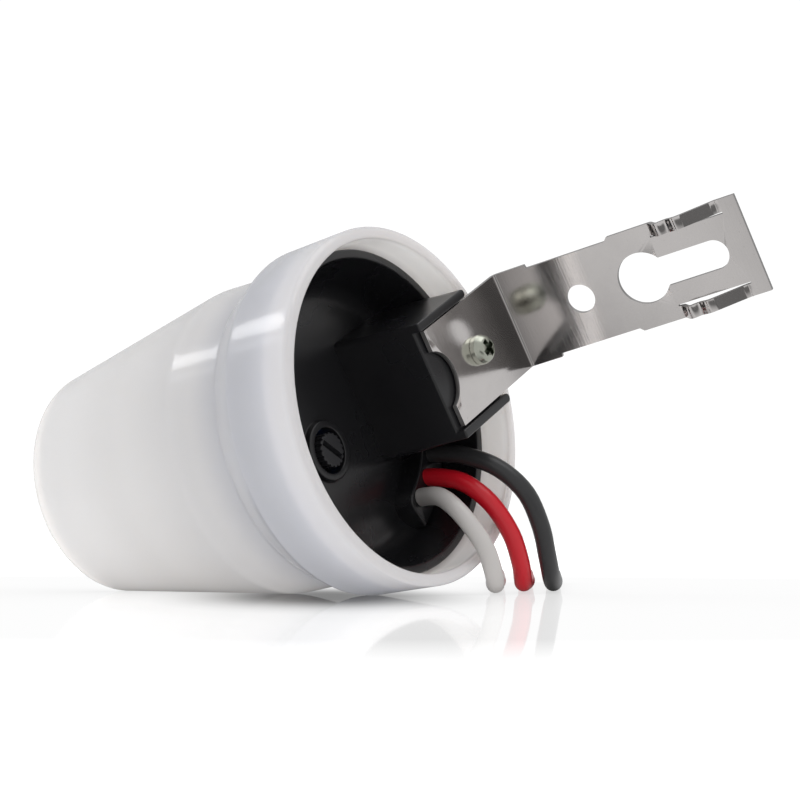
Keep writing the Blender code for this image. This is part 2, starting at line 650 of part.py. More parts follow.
def comb(pitch, count, bar_z):
    """Legs that rise from a bar to the board, as an outline of (across, z) points."""
    half = LEG_SECTION / 2
    places = [(index - (count - 1) / 2) * pitch for index in range(count)]
    points = [(places[0] - half, bar_z - half), (places[-1] + half, bar_z - half)]
    for index in range(count - 1, -1, -1):
        points += [(places[index] + half, PART_TOP), (places[index] - half, PART_TOP)]
        if index:
            points += [(places[index] - half, bar_z + half), (places[index - 1] + half, bar_z + half)]
    return points


def add_leaded(name, body, legs, matrix, parent, made):
    """A part whose legs are united with its body."""
    item = add_object(name, placed(body, matrix), parent, made)
    combine(item, "UNION", f"{name}_legs", placed(standing(prism(legs, -LEG_SECTION / 2, LEG_SECTION / 2)), matrix))


def add_axial(name, length, radius, matrix, parent, made):
    """A part that lies along the board, with a leg bent down at each end."""
    axis_z = PART_TOP - AXIAL_LIFT - radius
    lying = Matrix.Translation((0, 0, axis_z)) @ Matrix.Rotation(math.pi / 2, 4, "Y")
    body = placed(cylinder(radius, -length / 2, length / 2, sides=16), lying)
    add_leaded(name, body, comb(length + 2 * AXIAL_LEG_REACH, 2, axis_z), matrix, parent, made)


def build_small_parts(parent):
    """The diodes, resistors and transistor, and the photoresistor that looks out through the cap."""
    for index in range(DIODE_COUNT):
        place = on_board(DIODE_FIRST_X + index * DIODE_SPACING, DIODE_ROW_Y, 90)
        add_axial(f"diode_{index + 1}", DIODE_LENGTH, DIODE_RADIUS * PARTS_SCALE, place, parent,
                  material(f"diode_black_{index + 1}", (0.02, 0.02, 0.02), 0.4))
    for index, at in enumerate(RESISTORS):
        add_axial(f"resistor_{index + 1}", RESISTOR_LENGTH, RESISTOR_RADIUS, on_board(*at), parent,
                  material(f"resistor_beige_{index + 1}", (0.55, 0.42, 0.25), 0.5))
    bottom = PART_TOP - TRANSISTOR_LIFT - TRANSISTOR_HEIGHT
    flat = TRANSISTOR_DEPTH - TRANSISTOR_WIDTH / 2
    side = math.degrees(math.asin(flat / (TRANSISTOR_WIDTH / 2)))
    body = prism(arc(TRANSISTOR_WIDTH / 2, 180 - side, 360 + side, 14), bottom, bottom + TRANSISTOR_HEIGHT)
    add_leaded("transistor", body, comb(TRANSISTOR_PITCH, 3, bottom + TRANSISTOR_HEIGHT / 2),
               on_board(*TRANSISTOR_AT, 90), parent, material("transistor_black", (0.02, 0.02, 0.02), 0.5))
    tip = PART_TOP - PHOTORESISTOR_REACH
    body = cylinder(PHOTORESISTOR_RADIUS, tip - PHOTORESISTOR_THICKNESS, tip, sides=24)
    add_leaded("photoresistor", body, comb(PHOTORESISTOR_PITCH, 2, tip - PHOTORESISTOR_THICKNESS / 2),
               on_board(*PHOTORESISTOR_AT, 90), parent, material("sensor_red", (0.5, 0.2, 0.12), 0.4))


def resting_tilt():
    """How far the axis rises towards the mouth when the cap lies on a table.

    The cap rests on the two rings of its profile that carry the widest chord under the balance point.
    """
    profile = rounded(cap_outline(), steps=3, closed=False)
    best = None
    for back_radius, back_z in profile:
        for front_radius, front_z in profile:
            if not back_z < -BALANCE_DEPTH < front_z:
                continue
            share = (-BALANCE_DEPTH - back_z) / (front_z - back_z)
            chord = back_radius + share * (front_radius - back_radius)
            if best is None or chord > best[0]:
                best = (chord, math.atan2(front_radius - back_radius, front_z - back_z))
    return best[1]


def lay_down(frame):
    """Turns the empty to the resting pose and puts the switch's footprint and lowest point at the origin."""
    tilt = resting_tilt()
    frame.matrix_world = (Matrix.Rotation(math.pi / 2 - tilt, 4, "Y")
                          @ Matrix.Rotation(math.pi / 2 + STRAP_ROLL, 4, "Z"))
    depsgraph = bpy.context.evaluated_depsgraph_get()
    corners = []
    for item in bpy.data.objects:
        if item.type == "MESH" and not item.hide_render:
            made = item.evaluated_get(depsgraph)
            corners += [made.matrix_world @ vertex.co for vertex in made.data.vertices]
    low = [min(corner[axis] for corner in corners) for axis in range(3)]
    high = [max(corner[axis] for corner in corners) for axis in range(3)]
    shift = Vector(((low[0] + high[0]) / 2, (low[1] + high[1]) / 2, low[2]))
    frame.matrix_world = Matrix.Translation(-shift) @ frame.matrix_world
    bpy.context.view_layer.update()


def add_tube(name, points, radius, made):
    """A round cord along world points in millimetres."""
    curve = bpy.data.curves.new(name, "CURVE")
    curve.dimensions = "3D"
    curve.bevel_depth = radius * MM
    curve.bevel_resolution = 2
    curve.use_fill_caps = True
    spline = curve.splines.new("POLY")
    spline.points.add(len(points) - 1)
    for point, place in zip(spline.points, points):
        point.co = (*(place * MM), 1.0)
    curve.materials.append(made)
    item = bpy.data.objects.new(name, curve)
    bpy.context.scene.collection.objects.link(item)


def evenly(path, spacing):
    """The same path with its points about evenly spaced."""
    lengths = [0.0]
    for here, there in zip(path, path[1:]):
        lengths.append(lengths[-1] + (there - here).length)
    count = max(2, round(lengths[-1] / spacing))
    points, index = [], 0
    for step in range(count + 1):
        target = lengths[-1] * step / count
        while index < len(path) - 2 and lengths[index + 1] < target:
            index += 1
        share = (target - lengths[index]) / (lengths[index + 1] - lengths[index])
        points.append(path[index].lerp(path[index + 1], share))
    return points


def build_leads(frame):
    """The three insulated leads and their stripped ends."""
    colours = {"black": (0.015, 0.015, 0.015), "red": (0.75, 0.01, 0.02), "white": (0.85, 0.85, 0.83)}
    for colour, route in LEAD_ROUTES.items():
        x, y = lead_place(colour)
        start, rise = [frame.matrix_world @ (Vector((x, y, z)) * MM) / MM
                       for z in (SEAT_GAP - BOARD_DEPTH, LEAD_RISE - FLOOR_DEPTH)]
        knots = [rise] + [Vector(point) for point in route]
        before = start + (rise - start) * 0.5
        free = smooth_path([before] + knots, 12)[12:]
        points = [start] + evenly(free, LEAD_SAMPLING)
        add_tube(f"lead_{colour}", points, LEAD_RADIUS, material(f"insulation_{colour}", colours[colour], 0.35))
        ahead = (points[-1] - points[-2]).normalized()
        bare = [points[-1] + ahead * FIT_GAP, points[-1] + ahead * (FIT_GAP + CONDUCTOR_LENGTH)]
        add_tube(f"conductor_{colour}", bare, CONDUCTOR_RADIUS,
                 material(f"tinned_copper_{colour}", (0.72, 0.66, 0.6), 0.3, 1.0))


def main():
    """Builds every piece and lays the switch down."""
    clear_scene()
    frame = bpy.data.objects.new("resting_frame", None)
    bpy.context.scene.collection.objects.link(frame)
    build_cap(frame)
    build_base(frame)
    build_bracket(frame)
    build_bracket_screw(frame)
    build_trimmer(frame)
    build_board(frame)
    build_blocks(frame)
    build_small_parts(frame)
    lay_down(frame)
    build_leads(frame)


main()
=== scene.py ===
"""Photocell switch lying on a white table: the finished pieces, their materials, the stage and the camera.

Every shape is worked out in the switch's own frame, in millimetres: the mouth is at z = 0 and opens
towards +Z, and the strap stands on the +X side. to_row() then turns the points to the lying pose, in metres.
"""

import math

import bmesh
import bpy
import numpy as np
from bpy.props import FloatProperty, FloatVectorProperty, IntProperty, PointerProperty
from mathutils import Matrix, Vector


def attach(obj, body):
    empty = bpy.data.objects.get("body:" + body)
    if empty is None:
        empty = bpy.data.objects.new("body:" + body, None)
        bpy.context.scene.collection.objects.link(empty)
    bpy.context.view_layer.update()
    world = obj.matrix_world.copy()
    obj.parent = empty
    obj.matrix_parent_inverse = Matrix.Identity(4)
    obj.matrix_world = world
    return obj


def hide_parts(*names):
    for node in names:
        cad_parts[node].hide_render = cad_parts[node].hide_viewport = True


bl_info = {
    "name": "Photocell switch",
    "version": (1, 0, 0),
    "blender": (4, 5, 0),
    "location": "View3D > Sidebar > Photocell",
    "description": "Finished pieces of a photocell switch over its packed solids",
    "category": "Object",
}

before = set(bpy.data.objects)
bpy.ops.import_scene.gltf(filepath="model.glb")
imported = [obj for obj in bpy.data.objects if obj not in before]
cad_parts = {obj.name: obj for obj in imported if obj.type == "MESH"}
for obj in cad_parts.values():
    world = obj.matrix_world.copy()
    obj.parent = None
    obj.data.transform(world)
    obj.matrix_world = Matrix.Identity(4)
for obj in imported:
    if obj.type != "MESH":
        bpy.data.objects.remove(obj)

# Pose of the switch's own frame on the table
TURN = np.array([[-0.080474, -0.160005, 0.983830],
                 [0.893371, -0.449319, 0.0],
                 [0.442053, 0.878926, 0.179103]])
SHIFT = np.array([11.452, -5.331, 27.028])
MM = 0.001

# Camera of the photograph
CAMERA_PLACE = (0.24298, -0.30608, 0.00841)
CAMERA_TURN = ((0.7907, 0.0288, 0.6115), (0.6122, -0.0416, -0.7896), (0.0027, 0.9987, -0.0505))
CAMERA_LENS = 121.18
SENSOR = 36.0

# Cap: skirt, sloped shoulder, short straight body, cone and nearly flat end; depths count from the mouth
LIP_RADIUS = 26.0
SKIRT_RADIUS = 25.45
SKIRT_DEPTH = 11.4
LINING_STEP = (11.9, 14.4)
BODY_RADIUS = 22.9
BODY_DEPTH = 15.9
CONE_DEPTH = 25.0
CONE_END_RADIUS = 16.7
CONE_END_DEPTH = 59.3
CAP_DEPTH = 60.2

# Cap's painted light and shade along its axis: place from the closed end to the mouth, painted brightness and
# share of the hollow colour; the rest is the skirt's colour, which holds the black base's painted shade.
# Its lining near the mouth is painted whiter, a painted light for light glowing through the wall, between a
# radius and two heights that each fade over a span, in metres.
CAP_PAINTED_SHADING = ((0.0, 1.13, 1.0), (0.15, 1.12, 1.0), (0.37, 0.98, 1.0), (0.64, 0.80, 0.8), (0.75, 0.64, 0.2),
             (0.83, 0.66, 0.0), (0.92, 0.73, 0.0), (0.98, 0.68, 0.2), (1.0, 0.53, 0.35))
LINING_PAINTED_LIGHT = (0.97, 0.955, 0.95)
LINING_REACH = (0.0250, 0.0246)
LINING_LOW = (-0.006, -0.004)
LINING_HIGH = (-0.0012, -0.0003)
CAP_CLOUDS = 0.12

# Base: a cup whose rim is sunk in the mouth, with a hollow plug behind its floor
RIM_DEPTH = 4.7
RIM_RADIUS = 22.4
BASE_RADIUS = 23.7
BASE_DEPTH = 11.75
PLUG_RADIUS = 20.8
PLUG_INNER_RADIUS = 19.3
PLUG_DEPTH = 17.5
FLOOR_THICKNESS = 2.0
CORNER_RADIUS = 20.1
CORNER_ROUNDING = 3.0

# Adjuster: its place, its collar and its rotor
ADJUSTER_PLACE = (-5.3, -2.2)
BORE_RADIUS = 3.35
COLLAR_RADIUS = 4.5
COLLAR_HEIGHT = 1.0
ROTOR_RADIUS = 2.55
ROTOR_TOP = -11.55
ROTOR_LOW = -15.4
ROTOR_RIBS = 18
ROTOR_GROOVE = 0.22
ROTOR_GROOVE_START = (2.1, 2.35)
ROTOR_SIDES = 360
ROTOR_SLOT_TURN = -55
ROTOR_SLOT_DEPTH = 1.0
ROTOR_SLOT_WALL = (0.36, 0.44)
ROTOR_SLOT_END = (2.02, 2.14)

# Boss, the cheeks beside the bracket's leg, and the block that the leads come out of; a foot is (z, inset)
BOSS_NEAR_X = 6.9
BOSS_HALF_WIDTH = 9.15
BOSS_FAR_RADIUS = 21.9
BOSS_FOOT = ((-13.6, -0.6), (-12.9, -0.55))
BOSS_TOP = 0.8
BOSS_ROUNDING = 0.3
CHEEK_MIDDLE = 8.5
CHEEK_HALF = 0.65
CHEEK_END_X = 20.7
CHEEK_FOOT = ((-4.9, 0.0),)
CHEEK_TOP = 2.15
CHEEK_ROUNDING = 0.22
GUIDE_RADIUS = 20.4
GUIDE_WIDTH = 5.1
GUIDE_ANGLES = (math.radians(-77), math.radians(-31))
GUIDE_FOOT = ((-13.4, 0.0),)
GUIDE_TOP = -9.6
GUIDE_ROUNDING = 0.35

# Bracket, folded from one sheet: the leg lies along X, and places on the strap count from the fold's corner.
# A hole is its place along the strap and its radius.
LEG_TOP = 1.7
LEG_START = 8.2
HALF_WIDTH = 7.55
BITE_RADIUS = 4.45
BITE_SETBACK = 1.15
SCREW_X = 18.6
SCREW_HOLE_RADIUS = 1.75
FOLD_X = 29.9
FOLD_RADIUS = 0.4
FOLD_ROWS = 13
LEAN = math.radians(9.6)
FOLD_ANGLE = math.pi / 2 - LEAN
FOLD_REACH = FOLD_RADIUS * math.tan(FOLD_ANGLE / 2)
STRAP_LENGTH = 39.4
WAIST_HALF_WIDTH = 7.0
WAIST = (5.06, 5.2, 18.3, 18.87)
SMALL_HOLE = (11.5, 2.2)
KEYHOLE = (21.9, 3.95)
KEYHOLE_SLOT = (33.3, 2.25)
STRIP_SPAN = (25.3, 36.9)
STRIP_INNER = 5.65
SLIT_INNER = 5.4
STRIP_RISE = 2.0
STRIP_KNOTS = ((0, 0), (0.03, 0.02), (0.085, 0.45), (0.14, 0.86), (0.20, 0.97), (0.30, 0.80), (0.40, 0.96),
               (0.50, 0.90), (0.90, 0.08), (0.96, 0.01), (1, 0))
SHEARED_EDGE = 0.09

# Screw: its head's section as (radius, z, rounding), its shank and its cross recess, where a wall or an end is
# the span that it slopes over
HEAD_SECTION = ((0, 3.75, 0), (1.72, 3.68, 1.0), (2.2, 2.5, 0.5), (2.2, 1.72, 0.1), (1.45, 1.72, 0))
SHANK_SECTION = ((1.45, -5.8), (0, -6.8))
HEAD_SIDES = 192
RECESS_TURN = 20
RECESS_DEPTH = 1.2
RECESS_SLOPE = 0.55
RECESS_WALL = (0.40, 0.47)
RECESS_END = (1.22, 1.36)
# Faces inside this radius and between these heights take the recess's painted shade.
RECESS_RADIUS = 1.45
RECESS_LEVELS = (2.0, 3.55)

# Leads: each one's angle on the circle that they come out on, and its free route over the table in the row's
# frame, in millimetres; spacing and the bare ends' sizes are in metres
LEAD_STARTS = {"black": -42.5, "red": -55.0, "white": -67.5}
LEAD_CIRCLE = 17.5
LEAD_FOOT = -18.5
LEAD_RISE = -11.0
LEAD_ROUTES = {
    "black": ((4.2, 11.5, 20.6), (9.5, 11.6, 20.1), (14.6, 12.3, 18.3), (18.3, 13.8, 14.8), (19.5, 15.9, 10.0),
              (18.5, 19.0, 5.7), (16.4, 23.0, 2.9), (12.1, 29.8, 1.6), (4.6, 41.0, 1.5), (-10.7, 63.2, 1.5),
              (-35.2, 98.8, 1.5)),
    "red": ((4.8, 9.9, 17.1), (10.1, 9.6, 16.3), (14.5, 10.2, 13.4), (16.7, 12.3, 9.0), (16.0, 15.7, 4.9),
            (13.6, 19.8, 2.4), (10.6, 24.2, 1.6), (6.1, 30.9, 1.5), (-1.4, 42.1, 1.5), (-17.0, 64.2, 1.5),
            (-41.8, 99.5, 1.5)),
    "white": ((5.2, 7.1, 14.2), (10.0, 4.6, 14.0), (14.5, 3.4, 11.5), (17.3, 4.9, 7.2), (16.7, 8.2, 3.1),
              (13.9, 12.5, 1.6), (7.5, 21.2, 1.6), (-1.6, 34.5, 1.5), (-17.4, 56.5, 1.5), (-42.6, 91.6, 1.5)),
}
LEAD_SPACING = 0.0011
BARE_LENGTH = 0.0072
BARE_OVERLAP = 0.001
BARE_RADIUS = 0.00062
STRAND_TWIST = 2.5
STRAND_SPREAD = 0.12

# Lamps: name, azimuth, elevation, size across and up, radiance; each is a metre away
LAMPS = (
    ("streak", -159, 33.6, (0.18, 0.085), 4.5),
    ("streak_faint", -150, 28.0, (0.16, 0.045), 1.3),
    ("panel_top", 20, 82, (0.9, 0.9), 1.0),
)
LAMP_DISTANCE = 1.0
LAMP_AIM = (0, 0, 0.03)

# Surround: its tones by height, from 0 straight down to 1 straight up, and its brightness in the camera's view
SURROUND_TONES = ((0.45, (1.0, 1.0, 1.0)), (1.0, (0.97, 0.97, 0.98)))
BACKDROP = 1.05

# Contact shadow: an oval on the floor, and its brightness against the distance from its middle, where 1 is
# twice the oval's own size
SHADE_CURVE = ((0.0, 0.02), (0.15, 0.03), (0.25, 0.10), (0.35, 0.28), (0.45, 0.51), (0.55, 0.73), (0.65, 0.88),
               (0.75, 0.96), (1.0, 1.0))
SHADOW_PLACE = (0.0057, -0.0167, 0.0)
SHADOW_TURN = math.radians(39.2)
SHADOW_SIZE = (0.016, 0.0577, 1.0)

# Floor: its rings, the reach and brightness of what the switch hides, the fade and gloss of its mirror image,
# and its tone under diffuse rays
FLOOR_RINGS = (0.0, 200.0, 1000.0, 9000.0)
HIDING_REACH = 0.3
HIDDEN_SHADE = 0.82
MIRROR_FADE = (0.17, 0.27)
MIRROR_ROUGHNESS = 0.03
FLOOR_TONE = 0.86

# Floor in mirrors: an unlit part to the right of the camera with its middle, edges and level, and the ground
# close under the switch
DARK_PLACE = (0.118, -0.058, 0.0)
DARK_EDGES = (0.045, 0.085)
DARK_LEVEL = 0.13
UNDER_EDGES = (0.2, 0.85)
UNDER_LEVEL = 0.1


def colour_setting(name, description, default):
    """A colour among the settings."""
    return FloatVectorProperty(name=name, description=description, default=default, size=3, subtype="COLOR",
                               min=0, max=1)


def share_setting(name, description, default):
    """A share from 0 to 1 among the settings."""
    return FloatProperty(name=name, description=description, default=default, min=0, max=1, subtype="FACTOR")


def number_setting(name, description, default, low, high, **more):
    """A number with its limits among the settings."""
    return FloatProperty(name=name, description=description, default=default, min=low, max=high, **more)


class CapSettings(bpy.types.PropertyGroup):
    """Sizes and colours of the milky cap."""
    wall: number_setting("Wall", "Thickness of the cap's wall, in millimetres", 1.8, 1.0, 2.4)
    sides: IntProperty(name="Sides", description="Facets around the cap", default=256, min=32, max=512)
    body_colour: colour_setting("Body colour", "Colour of the cap where it is hollow", (0.885, 0.830, 0.788))
    # The skirt's colour is painted shade: darker and cooler where the black base lies behind the wall.
    shaded_skirt_colour: colour_setting("Skirt colour", "Colour of the cap over the black base", (0.80, 0.79, 0.84))
    roughness: share_setting("Roughness", "Gloss of the milky plastic, 0 is a mirror", 0.16)
    glow: share_setting("Translucency", "Share of the light that wanders inside the wall", 0.6)


class BaseSettings(bpy.types.PropertyGroup):
    """Sizes and colours of the black base."""
    floor_depth: number_setting("Floor depth", "Depth of the floor below the mouth, in millimetres", 13.0, 12.0,
                                13.5)
    colour: colour_setting("Colour", "Colour of the moulded black plastic", (0.008, 0.008, 0.0092))
    roughness: share_setting("Roughness", "Gloss of the black plastic, 0 is a mirror", 0.24)


class BracketSettings(bpy.types.PropertyGroup):
    """Sizes and colours of the bracket and its screw."""
    sheet: number_setting("Sheet", "Thickness of the sheet, in millimetres", 0.7, 0.5, 0.9)
    colour: colour_setting("Zinc colour", "Colour of the zinc plate", (0.88, 0.845, 0.83))
    roughness: share_setting("Roughness", "Gloss of the plate, 0 is a mirror", 0.045)
    edge_colour: colour_setting("Edge colour", "Colour of the sheared edges", (0.40, 0.39, 0.385))
    screw_colour: colour_setting("Screw colour", "Colour of the plated screw", (0.56, 0.58, 0.50))


class LeadSettings(bpy.types.PropertyGroup):
    """Sizes and colours of the leads."""
    diameter: number_setting("Diameter", "Diameter over the insulation, in metres", 0.0027, 0.0015, 0.003,
                             unit="LENGTH")
    black: colour_setting("Black", "Colour of the black lead", (0.026, 0.026, 0.027))
    red: colour_setting("Red", "Colour of the red lead", (0.50, 0.006, 0.016))
    white: colour_setting("White", "Colour of the white lead", (0.48, 0.46, 0.445))


class StageSettings(bpy.types.PropertyGroup):
    """Light and floor."""
    light: number_setting("Light", "Strength of the studio lamps", 1.0, 0, 5)
    surround: number_setting("Surround", "Brightness of the white surround", 1.0, 0, 3)
    mirror: share_setting("Mirror", "Share of the floor that mirrors the switch", 0.46)
    mirrored: number_setting("Mirrored surround", "Brightness of the surround in glossy surfaces", 0.59, 0, 2)
    floor_bounce: number_setting("Floor bounce", "Brightness of the lit floor under the switch", 1.55, 0, 2)
    floor_white: number_setting("Floor white", "Brightness of the floor where nothing hides it", 1.42, 0.5, 2)


def to_row(points):
    """Points of the switch's frame in millimetres, turned to the lying pose, in metres."""
    return (np.asarray(points) @ TURN.T + SHIFT) * MM


def rounded(corners, steps=8, closed=False):
    """An outline whose corners (x, y, radius) are rounded.

    The arc's centre lies on the corner's bisector at radius / sin(half the corner's angle).
    """
    corners = np.asarray(corners, dtype=float)
    parts = []
    last = len(corners) - 1
    for index, (x, y, radius) in enumerate(corners):
        here = np.array((x, y))
        if radius <= 0 or (not closed and index in (0, last)):
            parts.append(here[None])
            continue
        before = corners[index - 1, :2] - here
        after = corners[(index + 1) % len(corners), :2] - here
        before /= np.linalg.norm(before)
        after /= np.linalg.norm(after)
        half = math.acos(np.clip(before @ after, -1, 1)) / 2
        middle = before + after
        centre = here + middle / np.linalg.norm(middle) * radius / math.sin(half)
        first = here + before * radius / math.tan(half) - centre
        final = here + after * radius / math.tan(half) - centre
        sweep = math.atan2(first[0] * final[1] - first[1] * final[0], first @ final)
        angles = math.atan2(first[1], first[0]) + sweep * np.linspace(0, 1, steps + 1)
        parts.append(centre + radius * np.stack([np.cos(angles), np.sin(angles)], 1))
    return np.concatenate(parts)


def resampled(line, spacing):
    """The same line with its points at most a spacing apart, corners kept."""
    steps = np.maximum(1, np.ceil(np.linalg.norm(np.diff(line, axis=0), axis=1) / spacing).astype(int))
    index = np.repeat(np.arange(len(steps)), steps)
    first = np.cumsum(steps) - steps
    share = (np.arange(steps.sum()) - first[index]) / steps[index]
    points = line[index] + (line[index + 1] - line[index]) * share[:, None]
    return np.concatenate([points, line[-1:]])


def smooth_line(knots, count):
    """Points on a curve through the knots: on each span a cubic whose end slopes follow the neighbours."""
    knots = np.asarray(knots, dtype=float)
    t = np.linspace(0, len(knots) - 1, count)
    index = np.minimum(t.astype(int), len(knots) - 2)
    t = (t - index)[:, None]
    a = knots[np.maximum(index - 1, 0)]
    b = knots[index]
    c = knots[index + 1]
    d = knots[np.minimum(index + 2, len(knots) - 1)]
    square = (2 * a - 5 * b + 4 * c - d) * t ** 2
    return 0.5 * (2 * b + (c - a) * t + square + (3 * b - a - 3 * c + d) * t ** 3)


def step_up(value, low, high):
    """0 below low, 1 above high, and a smooth cubic between."""
    t = np.clip((value - low) / (high - low), 0, 1)
    return t * t * (3 - 2 * t)


def circle(radius, centre, count, start=0.0, end=2 * math.pi, whole=True):
    """Points on an arc around a centre."""
    angles = np.linspace(start, end, count, endpoint=not whole)
    return np.stack([centre[0] + radius * np.cos(angles), centre[1] + radius * np.sin(angles)], 1)


def grid_faces(rows, columns, closed_columns=True):
    """Quads between neighbouring rows and columns of a grid of points."""
    row = np.arange(rows - 1)[:, None]
    column = np.arange(columns if closed_columns else columns - 1)[None]
    right = (column + 1) % columns
    below = (row + 1) * columns
    return np.stack([row * columns + column, row * columns + right, below + right, below + column],
                    -1).reshape(-1, 4)


def clean_mesh(name, points, faces, weld, thinnest=0.0, outwards=True):
    """A mesh from points in metres, with doubles merged, slivers dissolved and its faces turned outwards."""
    mesh = bpy.data.meshes.new(name)
    mesh.from_pydata(points, [], faces)
    bm = bmesh.new()
    bm.from_mesh(mesh)
    bmesh.ops.remove_doubles(bm, verts=bm.verts, dist=weld)
    if thinnest:
        bmesh.ops.dissolve_degenerate(bm, edges=bm.edges, dist=thinnest)
    if outwards:
        bmesh.ops.recalc_face_normals(bm, faces=bm.faces)
    bm.to_mesh(mesh)
    bm.free()
    mesh.update()
    return mesh


def build_mesh(name, points, faces, weld=0.0005):
    """A clean mesh from points in the switch's frame, in millimetres."""
    return clean_mesh(name, to_row(points.reshape(-1, 3)), faces, weld * MM, weld * MM * 0.5)


def grid_mesh(name, grid):
    """A clean mesh from a grid of points in the switch's frame whose rows are closed."""
    return build_mesh(name, grid, grid_faces(*grid.shape[:2]).tolist())


def tubes_mesh(name, grids):
    """A clean mesh from tubes in the row's frame, in metres, with closed ends."""
    grids = [capped(grid) for grid in grids]
    points = np.concatenate([grid.reshape(-1, 3) for grid in grids])
    faces = np.concatenate([grid_faces(*grid.shape[:2]) + index * grid[..., 0].size
                            for index, grid in enumerate(grids)])
    return clean_mesh(name, points, faces.tolist(), 1e-7)


def placed(name, data):
    """An object that holds the data, in the scene."""
    item = bpy.data.objects.new(name, data)
    bpy.context.scene.collection.objects.link(item)
    return item


def add_piece(name, mesh, material, body="housing", nodes=(), sharp=35.0):
    """An object at the origin that rides on a body and may stand for CAD nodes."""
    mesh.shade_smooth()
    mesh.set_sharp_from_angle(angle=math.radians(sharp))
    mesh.materials.append(material)
    item = placed(name, mesh)
    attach(item, body)
    if nodes:
        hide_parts(*nodes)
    return item


def turned(profile, sides):
    """A grid of a (radius, z) profile turned about Z: the point at angle a is (r cos a, r sin a, z)."""
    angles = np.linspace(0, 2 * math.pi, sides, endpoint=False)
    radius, height = profile[:, :1], profile[:, 1:2]
    x = radius * np.cos(angles)
    return np.stack([x, radius * np.sin(angles), np.broadcast_to(height, x.shape)], -1)


def lofted(outline, levels):
    """A grid of one closed outline at several levels (z, inset): each point moves inwards along its normal."""
    ahead = np.roll(outline, -1, axis=0) - np.roll(outline, 1, axis=0)
    ahead /= np.linalg.norm(ahead, axis=1)[:, None]
    inwards = np.stack([-ahead[:, 1], ahead[:, 0]], 1)
    levels = np.asarray(levels, dtype=float)
    flat = outline[None] + inwards[None] * levels[:, 1, None, None]
    height = np.broadcast_to(levels[:, 0, None, None], flat.shape[:2] + (1,))
    return np.concatenate([flat, height], -1)


def raised(outline, foot, top, rounding, steps):
    """A grid of one closed outline from its foot's levels (z, inset) to a top edge rounded by a quarter circle."""
    edge = [(top - rounding + rounding * math.sin(a), rounding * (1 - math.cos(a)))
            for a in np.linspace(0, math.pi / 2, steps)]
    return lofted(outline, [*foot, *edge])


def closed_over(grid, x, y, steps=1):
    """The same grid with its top closed: each point of the last row goes straight to its own (x, y)."""
    top = grid[-1]
    middle = np.stack([*np.broadcast_arrays(x, y), top[:, 2]], 1)
    return np.concatenate([grid, top + (middle - top) * np.linspace(0, 1, steps + 1)[1:, None, None]])


def capped(grid):
    """The same grid with its first and last rows drawn in to their middle, which closes it."""
    first = np.broadcast_to(grid[0].mean(axis=0), grid[0].shape)
    last = np.broadcast_to(grid[-1].mean(axis=0), grid[-1].shape)
    return np.concatenate([first[None], grid, last[None]])


def tube(path, radius, sides):
    """A grid of circles along a path: the frame is carried from point to point without twisting."""
    ahead = np.gradient(path, axis=0)
    ahead /= np.linalg.norm(ahead, axis=1)[:, None]
    side = np.cross(ahead[0], (0.3, 0.5, 0.8))
    sides_along = []
    for direction in ahead:
        side = side - direction * (side @ direction)
        side = side / np.linalg.norm(side)
        sides_along.append(side)
    side = np.array(sides_along)
    other = np.cross(ahead, side)
    angles = np.linspace(0, 2 * math.pi, sides, endpoint=False)[None, :, None]
    return path[:, None] + radius * (side[:, None] * np.cos(angles) + other[:, None] * np.sin(angles))


def in_turned_axes(grid, degrees):
    """x and y of a grid's points along axes that are turned about Z."""
    turn = math.radians(degrees)
    x, y = grid[..., 0], grid[..., 1]
    return x * math.cos(turn) + y * math.sin(turn), y * math.cos(turn) - x * math.sin(turn)


def new_node(tree, kind, inputs, **traits):
    """A node with its traits set, and each input linked to a socket or set to a value or a colour."""
    node = tree.nodes.new(kind)
    for trait, value in traits.items():
        setattr(node, trait, value)
    for label, value in inputs.items():
        socket = node.inputs[label]
        if isinstance(value, bpy.types.NodeSocket):
            tree.links.new(value, socket)
        else:
            socket.default_value = (*value, 1) if socket.type == "RGBA" else value
    return node


def noise_node(tree, scale, detail, vector, roughness=0.55):
    """A noise texture whose scale counts per metre."""
    inputs = {"Scale": scale, "Detail": detail, "Roughness": roughness, "Vector": vector}
    return new_node(tree, "ShaderNodeTexNoise", inputs).outputs["Fac"]


def math_node(tree, operation, *values):
    """A Math node; each input is a socket or a number."""
    return new_node(tree, "ShaderNodeMath", dict(enumerate(values)), operation=operation).outputs[0]


def vector_node(tree, operation, *values):
    """A Vector Math node's outputs; each input is a socket or a vector."""
    return new_node(tree, "ShaderNodeVectorMath", dict(enumerate(values)), operation=operation).outputs


def split_node(tree, vector):
    """A vector's X, Y and Z."""
    return new_node(tree, "ShaderNodeSeparateXYZ", {"Vector": vector}).outputs


def map_range(tree, value, low, high, new_low, new_high, kind="LINEAR"):
    """A clamped Map Range node."""
    inputs = {"Value": value, "From Min": low, "From Max": high, "To Min": new_low, "To Max": new_high}
    return new_node(tree, "ShaderNodeMapRange", inputs, interpolation_type=kind).outputs["Result"]


def mix_colour(tree, factor, first, second):
    """A Mix node for colours; each input is a socket or a colour."""
    inputs = {"Factor": factor, 6: first, 7: second}
    return new_node(tree, "ShaderNodeMix", inputs, data_type="RGBA").outputs[2]


def colour_ramp(tree, place, stops, kind="LINEAR"):
    """A Color Ramp node with stops (place, colour)."""
    node = tree.nodes.new("ShaderNodeValToRGB")
    node.color_ramp.interpolation = kind
    elements = node.color_ramp.elements
    while len(elements) < len(stops):
        elements.new(0.5)
    for element, (position, colour) in zip(elements, stops):
        element.position = position
        element.color = (*colour, 1)
    tree.links.new(place, node.inputs["Fac"])
    return node.outputs["Color"]


